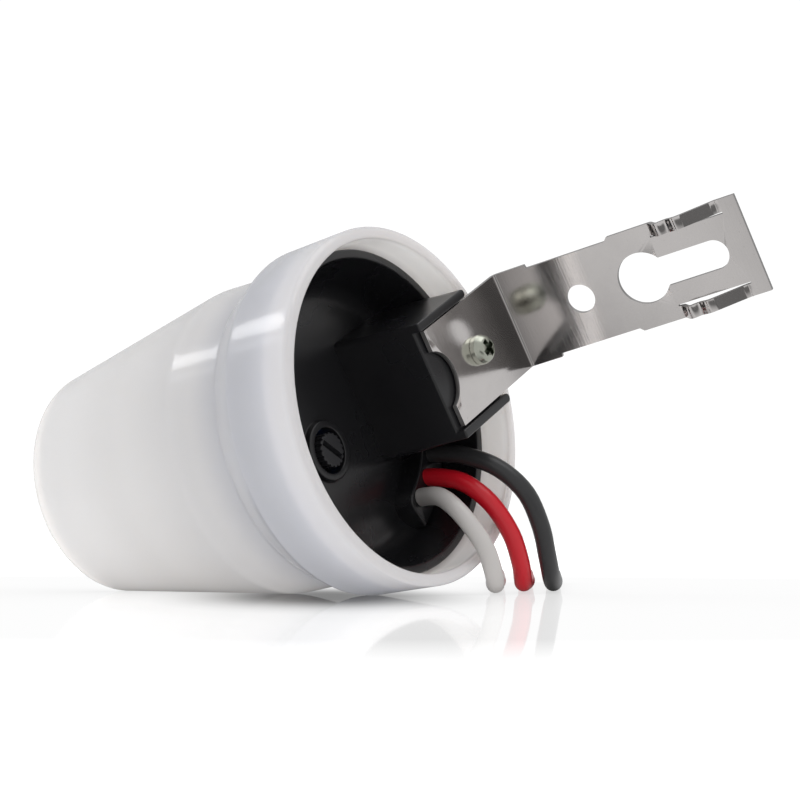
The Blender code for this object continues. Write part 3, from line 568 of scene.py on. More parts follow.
def bump_node(tree, height, strength, distance, normal=None):
    """A Bump node's normal; normal is the one that it starts from."""
    inputs = {"Height": height, "Strength": strength, "Distance": distance}
    if normal is not None:
        inputs["Normal"] = normal
    return new_node(tree, "ShaderNodeBump", inputs).outputs["Normal"]


def emission(tree, strength):
    """A white Emission shader."""
    return new_node(tree, "ShaderNodeEmission", {"Strength": strength}).outputs[0]


def mix_shader(tree, *values):
    """A Mix Shader node with its factor and two shaders."""
    return new_node(tree, "ShaderNodeMixShader", dict(enumerate(values))).outputs[0]


def node_group(name, inputs, outputs, fill):
    """A shader node group, built once."""
    if name in bpy.data.node_groups:
        return bpy.data.node_groups[name]
    group = bpy.data.node_groups.new(name, "ShaderNodeTree")
    for label, kind, default in inputs:
        socket = group.interface.new_socket(label, in_out="INPUT", socket_type=kind)
        if default is not None:
            socket.default_value = default
    for label in outputs:
        group.interface.new_socket(label, in_out="OUTPUT", socket_type="NodeSocketFloat")
    start = group.nodes.new("NodeGroupInput").outputs
    end = group.nodes.new("NodeGroupOutput").inputs
    for label, value in fill(group, start).items():
        group.links.new(value, end[label])
    return group


def moulding_group():
    """Moulded plastic: a faint orange peel, fine dust and a slow change of gloss."""
    def fill(group, start):
        vector = start["Vector"]
        peel = noise_node(group, 700, 2, vector)
        slow = noise_node(group, 60, 3, vector)
        dust = map_range(group, noise_node(group, 5200, 2, vector), 0.72, 0.78, 0.0, 1.0)
        gloss = math_node(group, "MULTIPLY_ADD", slow, start["Gloss change"], start["Roughness"])
        gloss = math_node(group, "MULTIPLY_ADD", dust, 0.12, gloss)
        return {"Roughness": gloss, "Height": peel, "Dust": dust, "Cloud": slow}
    inputs = (("Vector", "NodeSocketVector", None), ("Roughness", "NodeSocketFloat", 0.2),
              ("Gloss change", "NodeSocketFloat", 0.08))
    return node_group("moulded_surface", inputs, ("Roughness", "Height", "Dust", "Cloud"), fill)


def plating_group():
    """Plated sheet: rolling lines along one direction, fine marks and cloudy gloss."""
    def fill(group, start):
        stretch = new_node(group, "ShaderNodeMapping", {"Scale": (1.0, 0.035, 1.0), "Vector": start["Vector"]})
        lines = noise_node(group, 3800, 3, stretch.outputs["Vector"], 0.7)
        cloud = noise_node(group, 170, 3, start["Vector"])
        marks = map_range(group, noise_node(group, 2600, 2, start["Vector"]), 0.68, 0.75, 0.0, 1.0)
        gloss = start["Roughness"]
        for mask, share in ((lines, 0.06), (cloud, 0.08), (marks, 0.10)):
            gloss = math_node(group, "MULTIPLY_ADD", mask, share, gloss)
        height = math_node(group, "MULTIPLY_ADD", cloud, 0.8, lines)
        return {"Roughness": gloss, "Height": height, "Cloud": cloud, "Marks": marks}
    inputs = (("Vector", "NodeSocketVector", None), ("Roughness", "NodeSocketFloat", 0.2))
    return node_group("plated_surface", inputs, ("Roughness", "Height", "Cloud", "Marks"), fill)


def start_material(name, group, roughness, metallic=0.0, ior=1.49):
    """A new material whose surface group is fed with object coordinates turned into the switch's own frame."""
    material = bpy.data.materials.new(name)
    material.use_nodes = True
    tree = material.node_tree
    shader = tree.nodes["Principled BSDF"]
    shader.inputs["Metallic"].default_value = metallic
    shader.inputs["IOR"].default_value = ior
    pose = {"Vector": tree.nodes.new("ShaderNodeTexCoord").outputs["Object"], "Location": SHIFT * MM,
            "Rotation": Matrix(TURN.tolist()).to_euler("XYZ")}
    vector = new_node(tree, "ShaderNodeMapping", pose, vector_type="TEXTURE").outputs["Vector"]
    node = new_node(tree, "ShaderNodeGroup", {}, node_tree=group)
    tree.links.new(vector, node.inputs["Vector"])
    node.inputs["Roughness"].default_value = roughness
    tree.links.new(node.outputs["Roughness"], shader.inputs["Roughness"])
    return material, tree, shader, vector, node.outputs


def toned(colour, factor, lift=0.0):
    """A colour times a factor, plus a lift, at most 1."""
    return tuple(min(1.0, part * factor + lift) for part in colour)


def plastic(name, colour, roughness, dust=0.03, bump=0.12, ior=1.49):
    """Moulded plastic of one colour with faint dust and cloudy gloss."""
    material, tree, shader, vector, masks = start_material(name, moulding_group(), roughness, ior=ior)
    base = mix_colour(tree, masks["Cloud"], toned(colour, 0.92), colour)
    base = mix_colour(tree, masks["Dust"], base, toned(colour, 1.15, dust))
    tree.links.new(base, shader.inputs["Base Color"])
    tree.links.new(bump_node(tree, masks["Height"], bump, 0.00003), shader.inputs["Normal"])
    return material


def metal(name, colour, roughness, fold=None):
    """Plated metal with rolling lines, clouds and small marks.

    fold is the fold's place in a bent sheet: beside it the plate's colour is painted darker, a painted shade for
    the fold's inner corner, and the sheet above it bows a little.
    """
    material, tree, shader, vector, masks = start_material(name, plating_group(), roughness, 1.0)
    base = mix_colour(tree, masks["Cloud"], toned(colour, 0.86), colour)
    base = mix_colour(tree, masks["Marks"], base, toned(colour, 0.8))
    bow = None
    if fold:
        rise = map_range(tree, split_node(tree, vector)["Z"], 0.003, 0.016, 0.0, 1.0, "SMOOTHSTEP")
        bow = bump_node(tree, rise, 1.0, 0.0003)
        # Painted shade: the plate's colour darkens near the fold's inner corner, where shade and dark reflections
        # fall.
        beside = vector_node(tree, "MULTIPLY", vector, (1, 0, 1))["Vector"]
        away = vector_node(tree, "DISTANCE", beside, fold)["Value"]
        painted_fold_shade = map_range(tree, away, 0.002, 0.009, 1.0, 0.0, "SMOOTHSTEP")
        base = mix_colour(tree, painted_fold_shade, base, toned(colour, 0.6))
    tree.links.new(base, shader.inputs["Base Color"])
    tree.links.new(bump_node(tree, masks["Height"], 0.2, 0.00002, bow), shader.inputs["Normal"])
    return material


def milky_plastic(values):
    """Milky cap plastic with light wandering inside and painted light and shade: cooler and darker over the
    black base, warmer where it is hollow, brighter at the closed end, and a painted whiter lining near the mouth.
    """
    material, tree, shader, vector, masks = start_material("milky_plastic", moulding_group(), values.roughness)
    place = split_node(tree, vector)
    stops = []
    # Painted light and shade along the cap's axis: each stop's brightness and its mix of the skirt's shaded
    # colour.
    for position, tone, hollow in CAP_PAINTED_SHADING:
        pair = zip(values.shaded_skirt_colour, values.body_colour)
        stops.append((position, [tone * (skirt + (body - skirt) * hollow) for skirt, body in pair]))
    along = map_range(tree, place["Z"], -CAP_DEPTH * MM, 0.0, 0.0, 1.0)
    tones = colour_ramp(tree, along, stops, "EASE")
    # Painted light: the lining near the mouth is painted whiter, for light glowing through the thin wall.
    reach = vector_node(tree, "LENGTH", vector_node(tree, "MULTIPLY", vector, (1, 1, 0))["Vector"])["Value"]
    lining = map_range(tree, reach, *LINING_REACH, 0.0, 1.0)
    for span in ((*LINING_LOW, 0.0, 1.0), (*LINING_HIGH, 1.0, 0.0)):
        lining = math_node(tree, "MULTIPLY", lining, map_range(tree, place["Z"], *span))
    base = mix_colour(tree, lining, tones, LINING_PAINTED_LIGHT)
    base = mix_colour(tree, math_node(tree, "MULTIPLY", masks["Cloud"], CAP_CLOUDS), base, values.body_colour)
    tree.links.new(base, shader.inputs["Base Color"])
    tree.links.new(bump_node(tree, masks["Height"], 0.06, 0.00003), shader.inputs["Normal"])
    for label, value in (("Subsurface Weight", values.glow), ("Subsurface Radius", (1.0, 0.9, 0.8)),
                         ("Subsurface Scale", 0.018), ("Coat Roughness", 0.05), ("Coat Weight", 0.35)):
        shader.inputs[label].default_value = value
    return material


def cap_profile(wall):
    """The cap's section as (radius, z): outside from the pole to the lip, then the lining back to the pole."""
    slope = math.atan2(BODY_RADIUS - CONE_END_RADIUS, CONE_END_DEPTH - CONE_DEPTH)
    lining_end = CONE_END_RADIUS + wall * math.tan(slope) - wall / math.cos(slope)
    step_top, step_low = LINING_STEP
    corners = [(0, -CAP_DEPTH, 0), (CONE_END_RADIUS, -CONE_END_DEPTH, 2.6), (BODY_RADIUS, -CONE_DEPTH, 9.0),
               (BODY_RADIUS, -BODY_DEPTH, 1.5), (SKIRT_RADIUS, -SKIRT_DEPTH, 1.4), (LIP_RADIUS, 0, 0.8),
               (LIP_RADIUS - wall, 0, 0.4), (LIP_RADIUS - wall, -step_top, 0.8),
               (BODY_RADIUS - wall, -step_low, 0.8), (BODY_RADIUS - wall, -CONE_DEPTH, 0),
               (lining_end, wall - CONE_END_DEPTH, 1.3), (0, wall - CAP_DEPTH, 0)]
    return resampled(rounded(corners, 8), 1.2)


def base_rows(floor):
    """Rows (radius, z, slide) of the base: the bore's wall, the collar, the floor, the cup, the rim and the back.

    slide is 1 where a row is round the adjuster's axis and 0 where it is round the cup's axis.
    """
    back = -floor - FLOOR_THICKNESS
    collar = rounded([(BORE_RADIUS, back, 0), (BORE_RADIUS, COLLAR_HEIGHT - floor, 0.15),
                      (COLLAR_RADIUS - 0.1, COLLAR_HEIGHT - floor, 0.25), (COLLAR_RADIUS, -floor, 0.15),
                      (5.2, -floor, 0)], 5)
    cup = rounded([(15.0, -floor, 0), (CORNER_RADIUS, -floor, CORNER_ROUNDING), (RIM_RADIUS, -RIM_DEPTH, 0.3),
                   (BASE_RADIUS, -RIM_DEPTH, 0.3), (BASE_RADIUS, -BASE_DEPTH, 0.3), (PLUG_RADIUS, -BASE_DEPTH, 0),
                   (PLUG_RADIUS, -PLUG_DEPTH, 0), (PLUG_INNER_RADIUS, -PLUG_DEPTH, 0),
                   (PLUG_INNER_RADIUS, back, 0), (6.0, back, 0)], 6)
    cup = resampled(cup, 1.0)
    blend = np.linspace(0, 1, 12)[1:-1, None]
    between = collar[-1] + (cup[0] - collar[-1]) * blend
    rows = np.concatenate([collar, between, cup, collar[:1]])
    slide = np.concatenate([np.ones(len(collar)), 1 - blend[:, 0], np.zeros(len(cup)), [1.0]])
    return rows, slide


def cup_mesh(floor):
    """The base's cup: its rows turned, and slid towards the adjuster's axis."""
    rows, slide = base_rows(floor)
    grid = turned(rows, 256)
    grid[..., :2] += np.array(ADJUSTER_PLACE) * slide[:, None, None]
    return grid_mesh("base_cup", grid)


def boss_plan():
    """The boss in plan: a straight near edge, two sides and an arc along the cup's wall."""
    reach = math.asin(BOSS_HALF_WIDTH / BOSS_FAR_RADIUS)
    arc = circle(BOSS_FAR_RADIUS, (0, 0), 25, -reach, reach, whole=False)
    corners = [(arc[-1, 0], BOSS_HALF_WIDTH, 0), (BOSS_NEAR_X, BOSS_HALF_WIDTH, 0.5),
               (BOSS_NEAR_X, -BOSS_HALF_WIDTH, 0.5), (arc[0, 0], -BOSS_HALF_WIDTH, 0)]
    sides = resampled(rounded(corners, 5), 0.8)
    return np.concatenate([sides[:-1], arc])


def boss_mesh():
    """The boss: its plan at rising levels with drafted sides, a rounded top edge and a closed top."""
    grid = raised(boss_plan(), BOSS_FOOT, BOSS_TOP, BOSS_ROUNDING, 6)
    return grid_mesh("boss", closed_over(grid, np.clip(grid[-1, :, 0], 12, 16), 0.0, 7))


def cheek_mesh(side):
    """One cheek beside the bracket's leg: a bar with a round far end and rounded top edges."""
    middle = side * CHEEK_MIDDLE
    tip = circle(CHEEK_HALF, (CHEEK_END_X - CHEEK_HALF, middle), 17, -math.pi / 2, math.pi / 2, whole=False)
    near = rounded([(LEG_START, middle + CHEEK_HALF, 0), (BOSS_NEAR_X, middle + CHEEK_HALF, 0.2),
                    (BOSS_NEAR_X, middle - CHEEK_HALF, 0.2), (LEG_START, middle - CHEEK_HALF, 0)], 4)
    outline = np.concatenate([near, tip, near[:1]])
    outline = resampled(outline, 0.7)[:-1]
    grid = raised(outline, CHEEK_FOOT, CHEEK_TOP, CHEEK_ROUNDING, 5)
    return grid_mesh("cheek", closed_over(grid, np.clip(grid[-1, :, 0], 7.5, CHEEK_END_X - CHEEK_HALF), middle))


def guide_mesh():
    """The low block that the leads come out of: a band along the cup's wall with a rounded top.

    At share u of the way from its middle to an end, its inner side stands at R - W (1 - u^6)^(1/6), where R is
    its outer radius and W its width.
    """
    first, last = GUIDE_ANGLES
    share = np.linspace(-1, 1, 41)
    share = np.sign(share) * (1 - (1 - np.abs(share)) ** 2)
    angle = (first + last) / 2 + share * (last - first) / 2
    inner = GUIDE_RADIUS - GUIDE_WIDTH * (1 - share ** 6) ** (1 / 6)
    far = circle(GUIDE_RADIUS, (0, 0), 24, first, last, whole=False)
    near = (inner[:, None] * np.stack([np.cos(angle), np.sin(angle)], 1))[::-1]
    outline = resampled(np.concatenate([far, near[1:]]), 0.6)[:-1]
    grid = raised(outline, GUIDE_FOOT, GUIDE_TOP, GUIDE_ROUNDING, 5)
    angle = np.clip(np.arctan2(grid[-1, :, 1], grid[-1, :, 0]), first + 0.1, last - 0.1)
    middle = GUIDE_RADIUS - GUIDE_WIDTH / 2
    return grid_mesh("guide", closed_over(grid, middle * np.cos(angle), middle * np.sin(angle)))


def on_strap(across, along, through=0.0):
    """Points given across, along and through the strap, in the switch's frame."""
    up = np.array([math.sin(LEAN), 0, math.cos(LEAN)])
    out = np.array([math.cos(LEAN), 0, -math.sin(LEAN)])
    across, along, through = np.broadcast_arrays(across, along, through)
    return (np.array([FOLD_X, 0, LEG_TOP]) + across[..., None] * np.array([0.0, 1.0, 0.0])
            + along[..., None] * up + through[..., None] * out)


def fill_flat(outline, holes):
    """Triangles of a flat outline with holes, as points and faces."""
    bm = bmesh.new()
    for loop in [outline, *holes]:
        verts = [bm.verts.new((x, y, 0)) for x, y in loop]
        for index, vert in enumerate(verts):
            bm.edges.new((vert, verts[(index + 1) % len(verts)]))
    bmesh.ops.triangle_fill(bm, edges=bm.edges, use_beauty=True, use_dissolve=False)
    bm.verts.index_update()
    points = np.array([vert.co[:2] for vert in bm.verts])
    faces = [[vert.index for vert in face.verts] for face in bm.faces]
    bm.free()
    return points, faces


def leg_plan():
    """The leg in (x, y): a straight sheet with a round bite at its free end and the screw's hole."""
    reach = math.acos(BITE_SETBACK / BITE_RADIUS)
    bite = circle(BITE_RADIUS, (LEG_START - BITE_SETBACK, 0), 41, reach, -reach, whole=False)
    end = FOLD_X - FOLD_REACH
    outline = np.concatenate([[(end, -HALF_WIDTH), (end, HALF_WIDTH), (LEG_START, HALF_WIDTH)], bite,
                              [(LEG_START, -HALF_WIDTH)]])
    return outline, [circle(SCREW_HOLE_RADIUS, (SCREW_X, 0), 32)]


def strap_plan():
    """The strap in (across, along): waist, lanced windows, small hole and keyhole."""
    waist_on, waist_start, waist_end, waist_off = WAIST
    start, end = STRIP_SPAN
    right = np.array([(HALF_WIDTH, FOLD_REACH), (HALF_WIDTH, waist_on), (WAIST_HALF_WIDTH, waist_start),
                      (WAIST_HALF_WIDTH, waist_end), (HALF_WIDTH, waist_off), (HALF_WIDTH, start),
                      (STRIP_INNER, start), (SLIT_INNER, start), (SLIT_INNER, end), (STRIP_INNER, end),
                      (HALF_WIDTH, end), (HALF_WIDTH, STRAP_LENGTH)])
    left = right[::-1] * (-1, 1)
    (entry_along, entry_radius), (slot_along, slot_radius) = KEYHOLE, KEYHOLE_SLOT
    corner = math.asin(slot_radius / entry_radius)
    entry = circle(entry_radius, (0, entry_along), 61, math.pi / 2 + corner, 2.5 * math.pi - corner, whole=False)
    slot = circle(slot_radius, (0, slot_along), 25, 0, math.pi, whole=False)
    hole = circle(SMALL_HOLE[1], (0, SMALL_HOLE[0]), 48)
    return np.concatenate([right, left]), [hole, np.concatenate([entry, slot])]


def bracket_mesh():
    """The bracket's inner face: leg and strap as flat fills, the fold as an arc, lanced strips as waves.

    A strip has a steep start, a wave with a dip and a long slope, along a smooth line through STRIP_KNOTS.
    """
    points, faces = [], []

    def add(new_points, new_faces):
        offset = sum(len(part) for part in points)
        points.append(new_points.reshape(-1, 3))
        faces.extend([[index + offset for index in face] for face in new_faces])

    plan, loops = fill_flat(*leg_plan())
    add(np.concatenate([plan, np.full((len(plan), 1), LEG_TOP)], 1), loops)
    plan, loops = fill_flat(*strap_plan())
    add(on_strap(plan[:, 0], plan[:, 1]), loops)
    turn = np.linspace(0, FOLD_ANGLE, FOLD_ROWS)[:, None]
    x = FOLD_X - FOLD_REACH + FOLD_RADIUS * np.sin(turn)
    z = LEG_TOP + FOLD_RADIUS * (1 - np.cos(turn))
    fold = np.stack(np.broadcast_arrays(x, np.array([[-HALF_WIDTH, HALF_WIDTH]]), z), -1)
    add(fold, grid_faces(FOLD_ROWS, 2, closed_columns=False).tolist())
    line = smooth_line(STRIP_KNOTS, 140)
    along = STRIP_SPAN[0] + line[:, :1] * (STRIP_SPAN[1] - STRIP_SPAN[0])
    rise = np.maximum(line[:, 1:], 0) * STRIP_RISE
    for side in (-1, 1):
        strip = on_strap(side * np.array([[STRIP_INNER, HALF_WIDTH]]), along, -rise)
        add(strip, grid_faces(len(line), 2, closed_columns=False).tolist())
    mesh = build_mesh("bracket_sheet", np.concatenate(points), faces, 0.004)
    up = TURN @ np.array([0, 0, 1.0])
    leg = [face for face in mesh.polygons if abs(np.dot(face.normal, up)) > 0.99]
    if sum(np.dot(face.normal, up) * face.area for face in leg) < 0:
        mesh.flip_normals()
    return mesh


def screw_mesh():
    """The screw: a turned pan head, with a cross recess pressed into the top by lowering the points inside it."""
    head = resampled(rounded(HEAD_SECTION, 10), 0.05)
    grid = turned(np.concatenate([head, np.array(SHANK_SECTION)]), HEAD_SIDES)
    x, y = in_turned_axes(grid, RECESS_TURN)
    reach = np.maximum(np.abs(x), np.abs(y))
    width = np.minimum(np.abs(x), np.abs(y))
    inside = (1 - step_up(width, *RECESS_WALL)) * (1 - step_up(reach, *RECESS_END))
    grid[..., 2] -= inside * (RECESS_DEPTH - RECESS_SLOPE * reach) * (grid[..., 2] > 3)
    grid[..., 0] += SCREW_X
    mesh = grid_mesh("bracket_screw_head", grid)
    # Faces deep in the cross recess take the second material, a painted shade in the recess.
    low, high = RECESS_LEVELS
    for face in mesh.polygons:
        x, y, z = (np.array(face.center) / MM - SHIFT) @ TURN
        face.material_index = int(low < z < high and math.hypot(x - SCREW_X, y) < RECESS_RADIUS)
    return mesh


def rotor_mesh():
    """The adjuster's rotor: a turned knob whose radius steps in between ribs, with a straight slot in its top."""
    profile = rounded([(0, ROTOR_TOP, 0), (ROTOR_RADIUS, ROTOR_TOP, 0.18), (ROTOR_RADIUS, ROTOR_LOW, 0.1),
                       (0, ROTOR_LOW, 0)], 6)
    grid = turned(resampled(profile, 0.05), ROTOR_SIDES)
    wave = np.cos(np.linspace(0, 2 * math.pi, ROTOR_SIDES, endpoint=False) * ROTOR_RIBS)
    groove = step_up(wave, -0.1, 0.5) * ROTOR_GROOVE
    radius = np.hypot(grid[..., 0], grid[..., 1])
    edge = step_up(radius, *ROTOR_GROOVE_START)
    grid[..., :2] *= (1 - groove[None] * edge / np.maximum(radius, 0.1))[..., None]
    x, y = in_turned_axes(grid, ROTOR_SLOT_TURN)
    inside = (1 - step_up(np.abs(y), *ROTOR_SLOT_WALL)) * (1 - step_up(np.abs(x), *ROTOR_SLOT_END))
    grid[..., 2] -= inside * ROTOR_SLOT_DEPTH * (grid[..., 2] > ROTOR_TOP - 0.3)
    grid[..., :2] += ADJUSTER_PLACE
    return grid_mesh("rotor", grid)


def lead_path(colour):
    """The lead's centre line over the table in metres, about a point per millimetre."""
    angle = math.radians(LEAD_STARTS[colour])
    start = to_row([(LEAD_CIRCLE * math.cos(angle), LEAD_CIRCLE * math.sin(angle), z)
                    for z in (LEAD_FOOT, (LEAD_FOOT + LEAD_RISE) / 2, LEAD_RISE)])
    dense = smooth_line(np.concatenate([start, np.array(LEAD_ROUTES[colour]) * MM]), 1200)
    length = np.concatenate([[0], np.cumsum(np.linalg.norm(np.diff(dense, axis=0), axis=1))])
    at = np.linspace(0, length[-1], int(length[-1] / LEAD_SPACING))
    return np.stack([np.interp(at, length, dense[:, axis]) for axis in range(3)], 1)


def strand_mesh(name, start, ahead):
    """Seven twisted strands: six wind round the seventh on a helix, each a third of the conductor's radius."""
    strand = BARE_RADIUS / 3
    t = np.linspace(0, 1, 60)
    side = np.cross(ahead, (0, 0, 1.0))
    side /= np.linalg.norm(side)
    up = np.cross(side, ahead)
    grids = []
    for number in range(7):
        reach = (0.0 if number == 6 else 2 * strand) * (1 + STRAND_SPREAD * t)
        angle = number * math.pi / 3 + t * STRAND_TWIST
        path = (start + t[:, None] * BARE_LENGTH * ahead + side * (reach * np.cos(angle))[:, None]
                + up * (reach * np.sin(angle))[:, None])
        grids.append(tube(path, strand, 12))
    return tubes_mesh(name, grids)


def settings():
    """The scene's settings for this object."""
    return bpy.context.scene.photocell


class PHOTOCELL_OT_camera(bpy.types.Operator):
    """Sets up the photograph's camera"""
    bl_idname = "photocell.camera"
    bl_label = "Camera"

    def execute(self, context):
        camera = bpy.data.cameras.new("camera")
        camera.lens = CAMERA_LENS
        camera.sensor_width = SENSOR
        camera.clip_start = 0.01
        camera.clip_end = 20
        item = placed("camera", camera)
        item.matrix_world = Matrix.Translation(CAMERA_PLACE) @ Matrix(CAMERA_TURN).to_4x4()
        context.scene.camera = item
        return {"FINISHED"}


class PHOTOCELL_OT_leads(bpy.types.Operator):
    """Lays the three leads and their stripped ends"""
    bl_idname = "photocell.leads"
    bl_label = "Leads"

    def execute(self, context):
        values = settings().leads
        copper = metal("tinned_copper", (0.72, 0.66, 0.60), 0.22)
        for colour in LEAD_ROUTES:
            path = lead_path(colour)
            mesh = tubes_mesh(f"lead_{colour}_sleeve", [tube(path, values.diameter / 2, 24)])
            insulation = plastic(f"insulation_{colour}", tuple(getattr(values, colour)), 0.26, 0.02, 0.1)
            sleeve = add_piece(f"lead_{colour}_sleeve", mesh, insulation, nodes=(f"lead_{colour}",), sharp=60)
            ahead = path[-1] - path[-2]
            ahead /= np.linalg.norm(ahead)
            strands = strand_mesh(f"lead_{colour}_strands", path[-1] - ahead * BARE_OVERLAP, ahead)
            bare = add_piece(f"lead_{colour}_strands", strands, copper, nodes=(f"conductor_{colour}",), sharp=60)
        return {"FINISHED"}


class PHOTOCELL_OT_cap(bpy.types.Operator):
    """Turns the milky cap"""
    bl_idname = "photocell.cap"
    bl_label = "Cap"

    def execute(self, context):
        values = settings().cap
        mesh = grid_mesh("cap_shell", turned(cap_profile(values.wall), values.sides))
        item = add_piece("cap_shell", mesh, milky_plastic(values), nodes=("cap",), sharp=50)
        return {"FINISHED"}


class PHOTOCELL_OT_base(bpy.types.Operator):
    """Makes the black base with its boss, guide, cheeks and collar"""
    bl_idname = "photocell.base"
    bl_label = "Base"

    def execute(self, context):
        values = settings().base
        black = plastic("black_plastic", tuple(values.colour), values.roughness, 0.02, 0.012, 1.56)
        pieces = {"base_cup": cup_mesh(values.floor_depth), "base_boss": boss_mesh(), "base_guide": guide_mesh(),
                  "base_cheek_1": cheek_mesh(-1), "base_cheek_2": cheek_mesh(1)}
        for name, mesh in pieces.items():
            piece = add_piece(name, mesh, black, nodes=("base",), sharp=40)
        return {"FINISHED"}


class PHOTOCELL_OT_bracket(bpy.types.Operator):
    """Folds the bracket and sets its screw"""
    bl_idname = "photocell.bracket"
    bl_label = "Bracket"

    def execute(self, context):
        values = settings().bracket
        zinc = metal("zinc_plate", tuple(values.colour), values.roughness, fold=(FOLD_X * MM, 0, LEG_TOP * MM))
        item = add_piece("bracket_sheet", bracket_mesh(), zinc, nodes=("bracket",), sharp=180)
        item.data.materials.append(metal("cut_steel", tuple(values.edge_colour), 0.42))
        wall = item.modifiers.new("sheet", "SOLIDIFY")
        wall.thickness = values.sheet * MM
        wall.offset = -1
        wall.material_offset_rim = 1
        edge = item.modifiers.new("sheared_edges", "BEVEL")
        edge.width = SHEARED_EDGE * MM
        edge.segments = 2
        edge.limit_method = "ANGLE"
        edge.angle_limit = math.radians(50)
        flat = item.modifiers.new("flat_shading", "WEIGHTED_NORMAL")
        flat.weight = 80
        nickel = metal("nickel_plate", tuple(values.screw_colour), 0.16)
        screw = add_piece("bracket_screw_head", screw_mesh(), nickel, nodes=("bracket_screw",), sharp=40)
        screw.data.materials.append(metal("recess_shade", (0.10, 0.115, 0.085), 0.25))
        return {"FINISHED"}


class PHOTOCELL_OT_adjuster(bpy.types.Operator):
    """Makes the adjuster's ribbed rotor"""
    bl_idname = "photocell.adjuster"
    bl_label = "Adjuster"

    def execute(self, context):
        dark = plastic("rotor_plastic", (0.018, 0.018, 0.02), 0.3, 0.02, 0.1)
        item = add_piece("adjuster_rotor", rotor_mesh(), dark, "adjuster", ("trimmer_rotor",), 40)
        return {"FINISHED"}


class PHOTOCELL_OT_inside(bpy.types.Operator):
    """Gives the pieces inside the cap their materials"""
    bl_idname = "photocell.inside"
    bl_label = "Inside"

    def execute(self, context):
        finishes = {
            "trimmer_body": plastic("trimmer_blue", (0.03, 0.10, 0.32), 0.4),
            "circuit_board": plastic("solder_resist", (0.02, 0.13, 0.05), 0.35),
            "relay": plastic("relay_blue", (0.03, 0.08, 0.26), 0.4),
            "film_capacitor": plastic("dipped_red", (0.42, 0.04, 0.02), 0.25),
            "electrolytic_capacitor": plastic("shrink_sleeve", (0.02, 0.025, 0.05), 0.3),
            "photoresistor": plastic("sensor_lacquer", (0.5, 0.2, 0.12), 0.3),
            "board_screw": metal("small_screws", (0.55, 0.55, 0.55), 0.3),
            "diode": plastic("moulded_part", (0.02, 0.02, 0.02), 0.45),
            "resistor": plastic("resistor_lacquer", (0.55, 0.42, 0.25), 0.4),
        }
        finishes["transistor"] = finishes["diode"]
        for name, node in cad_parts.items():
            kind = name.rstrip("_0123456789")
            if kind in finishes:
                for slot in node.material_slots:
                    slot.material = finishes[kind]
        return {"FINISHED"}


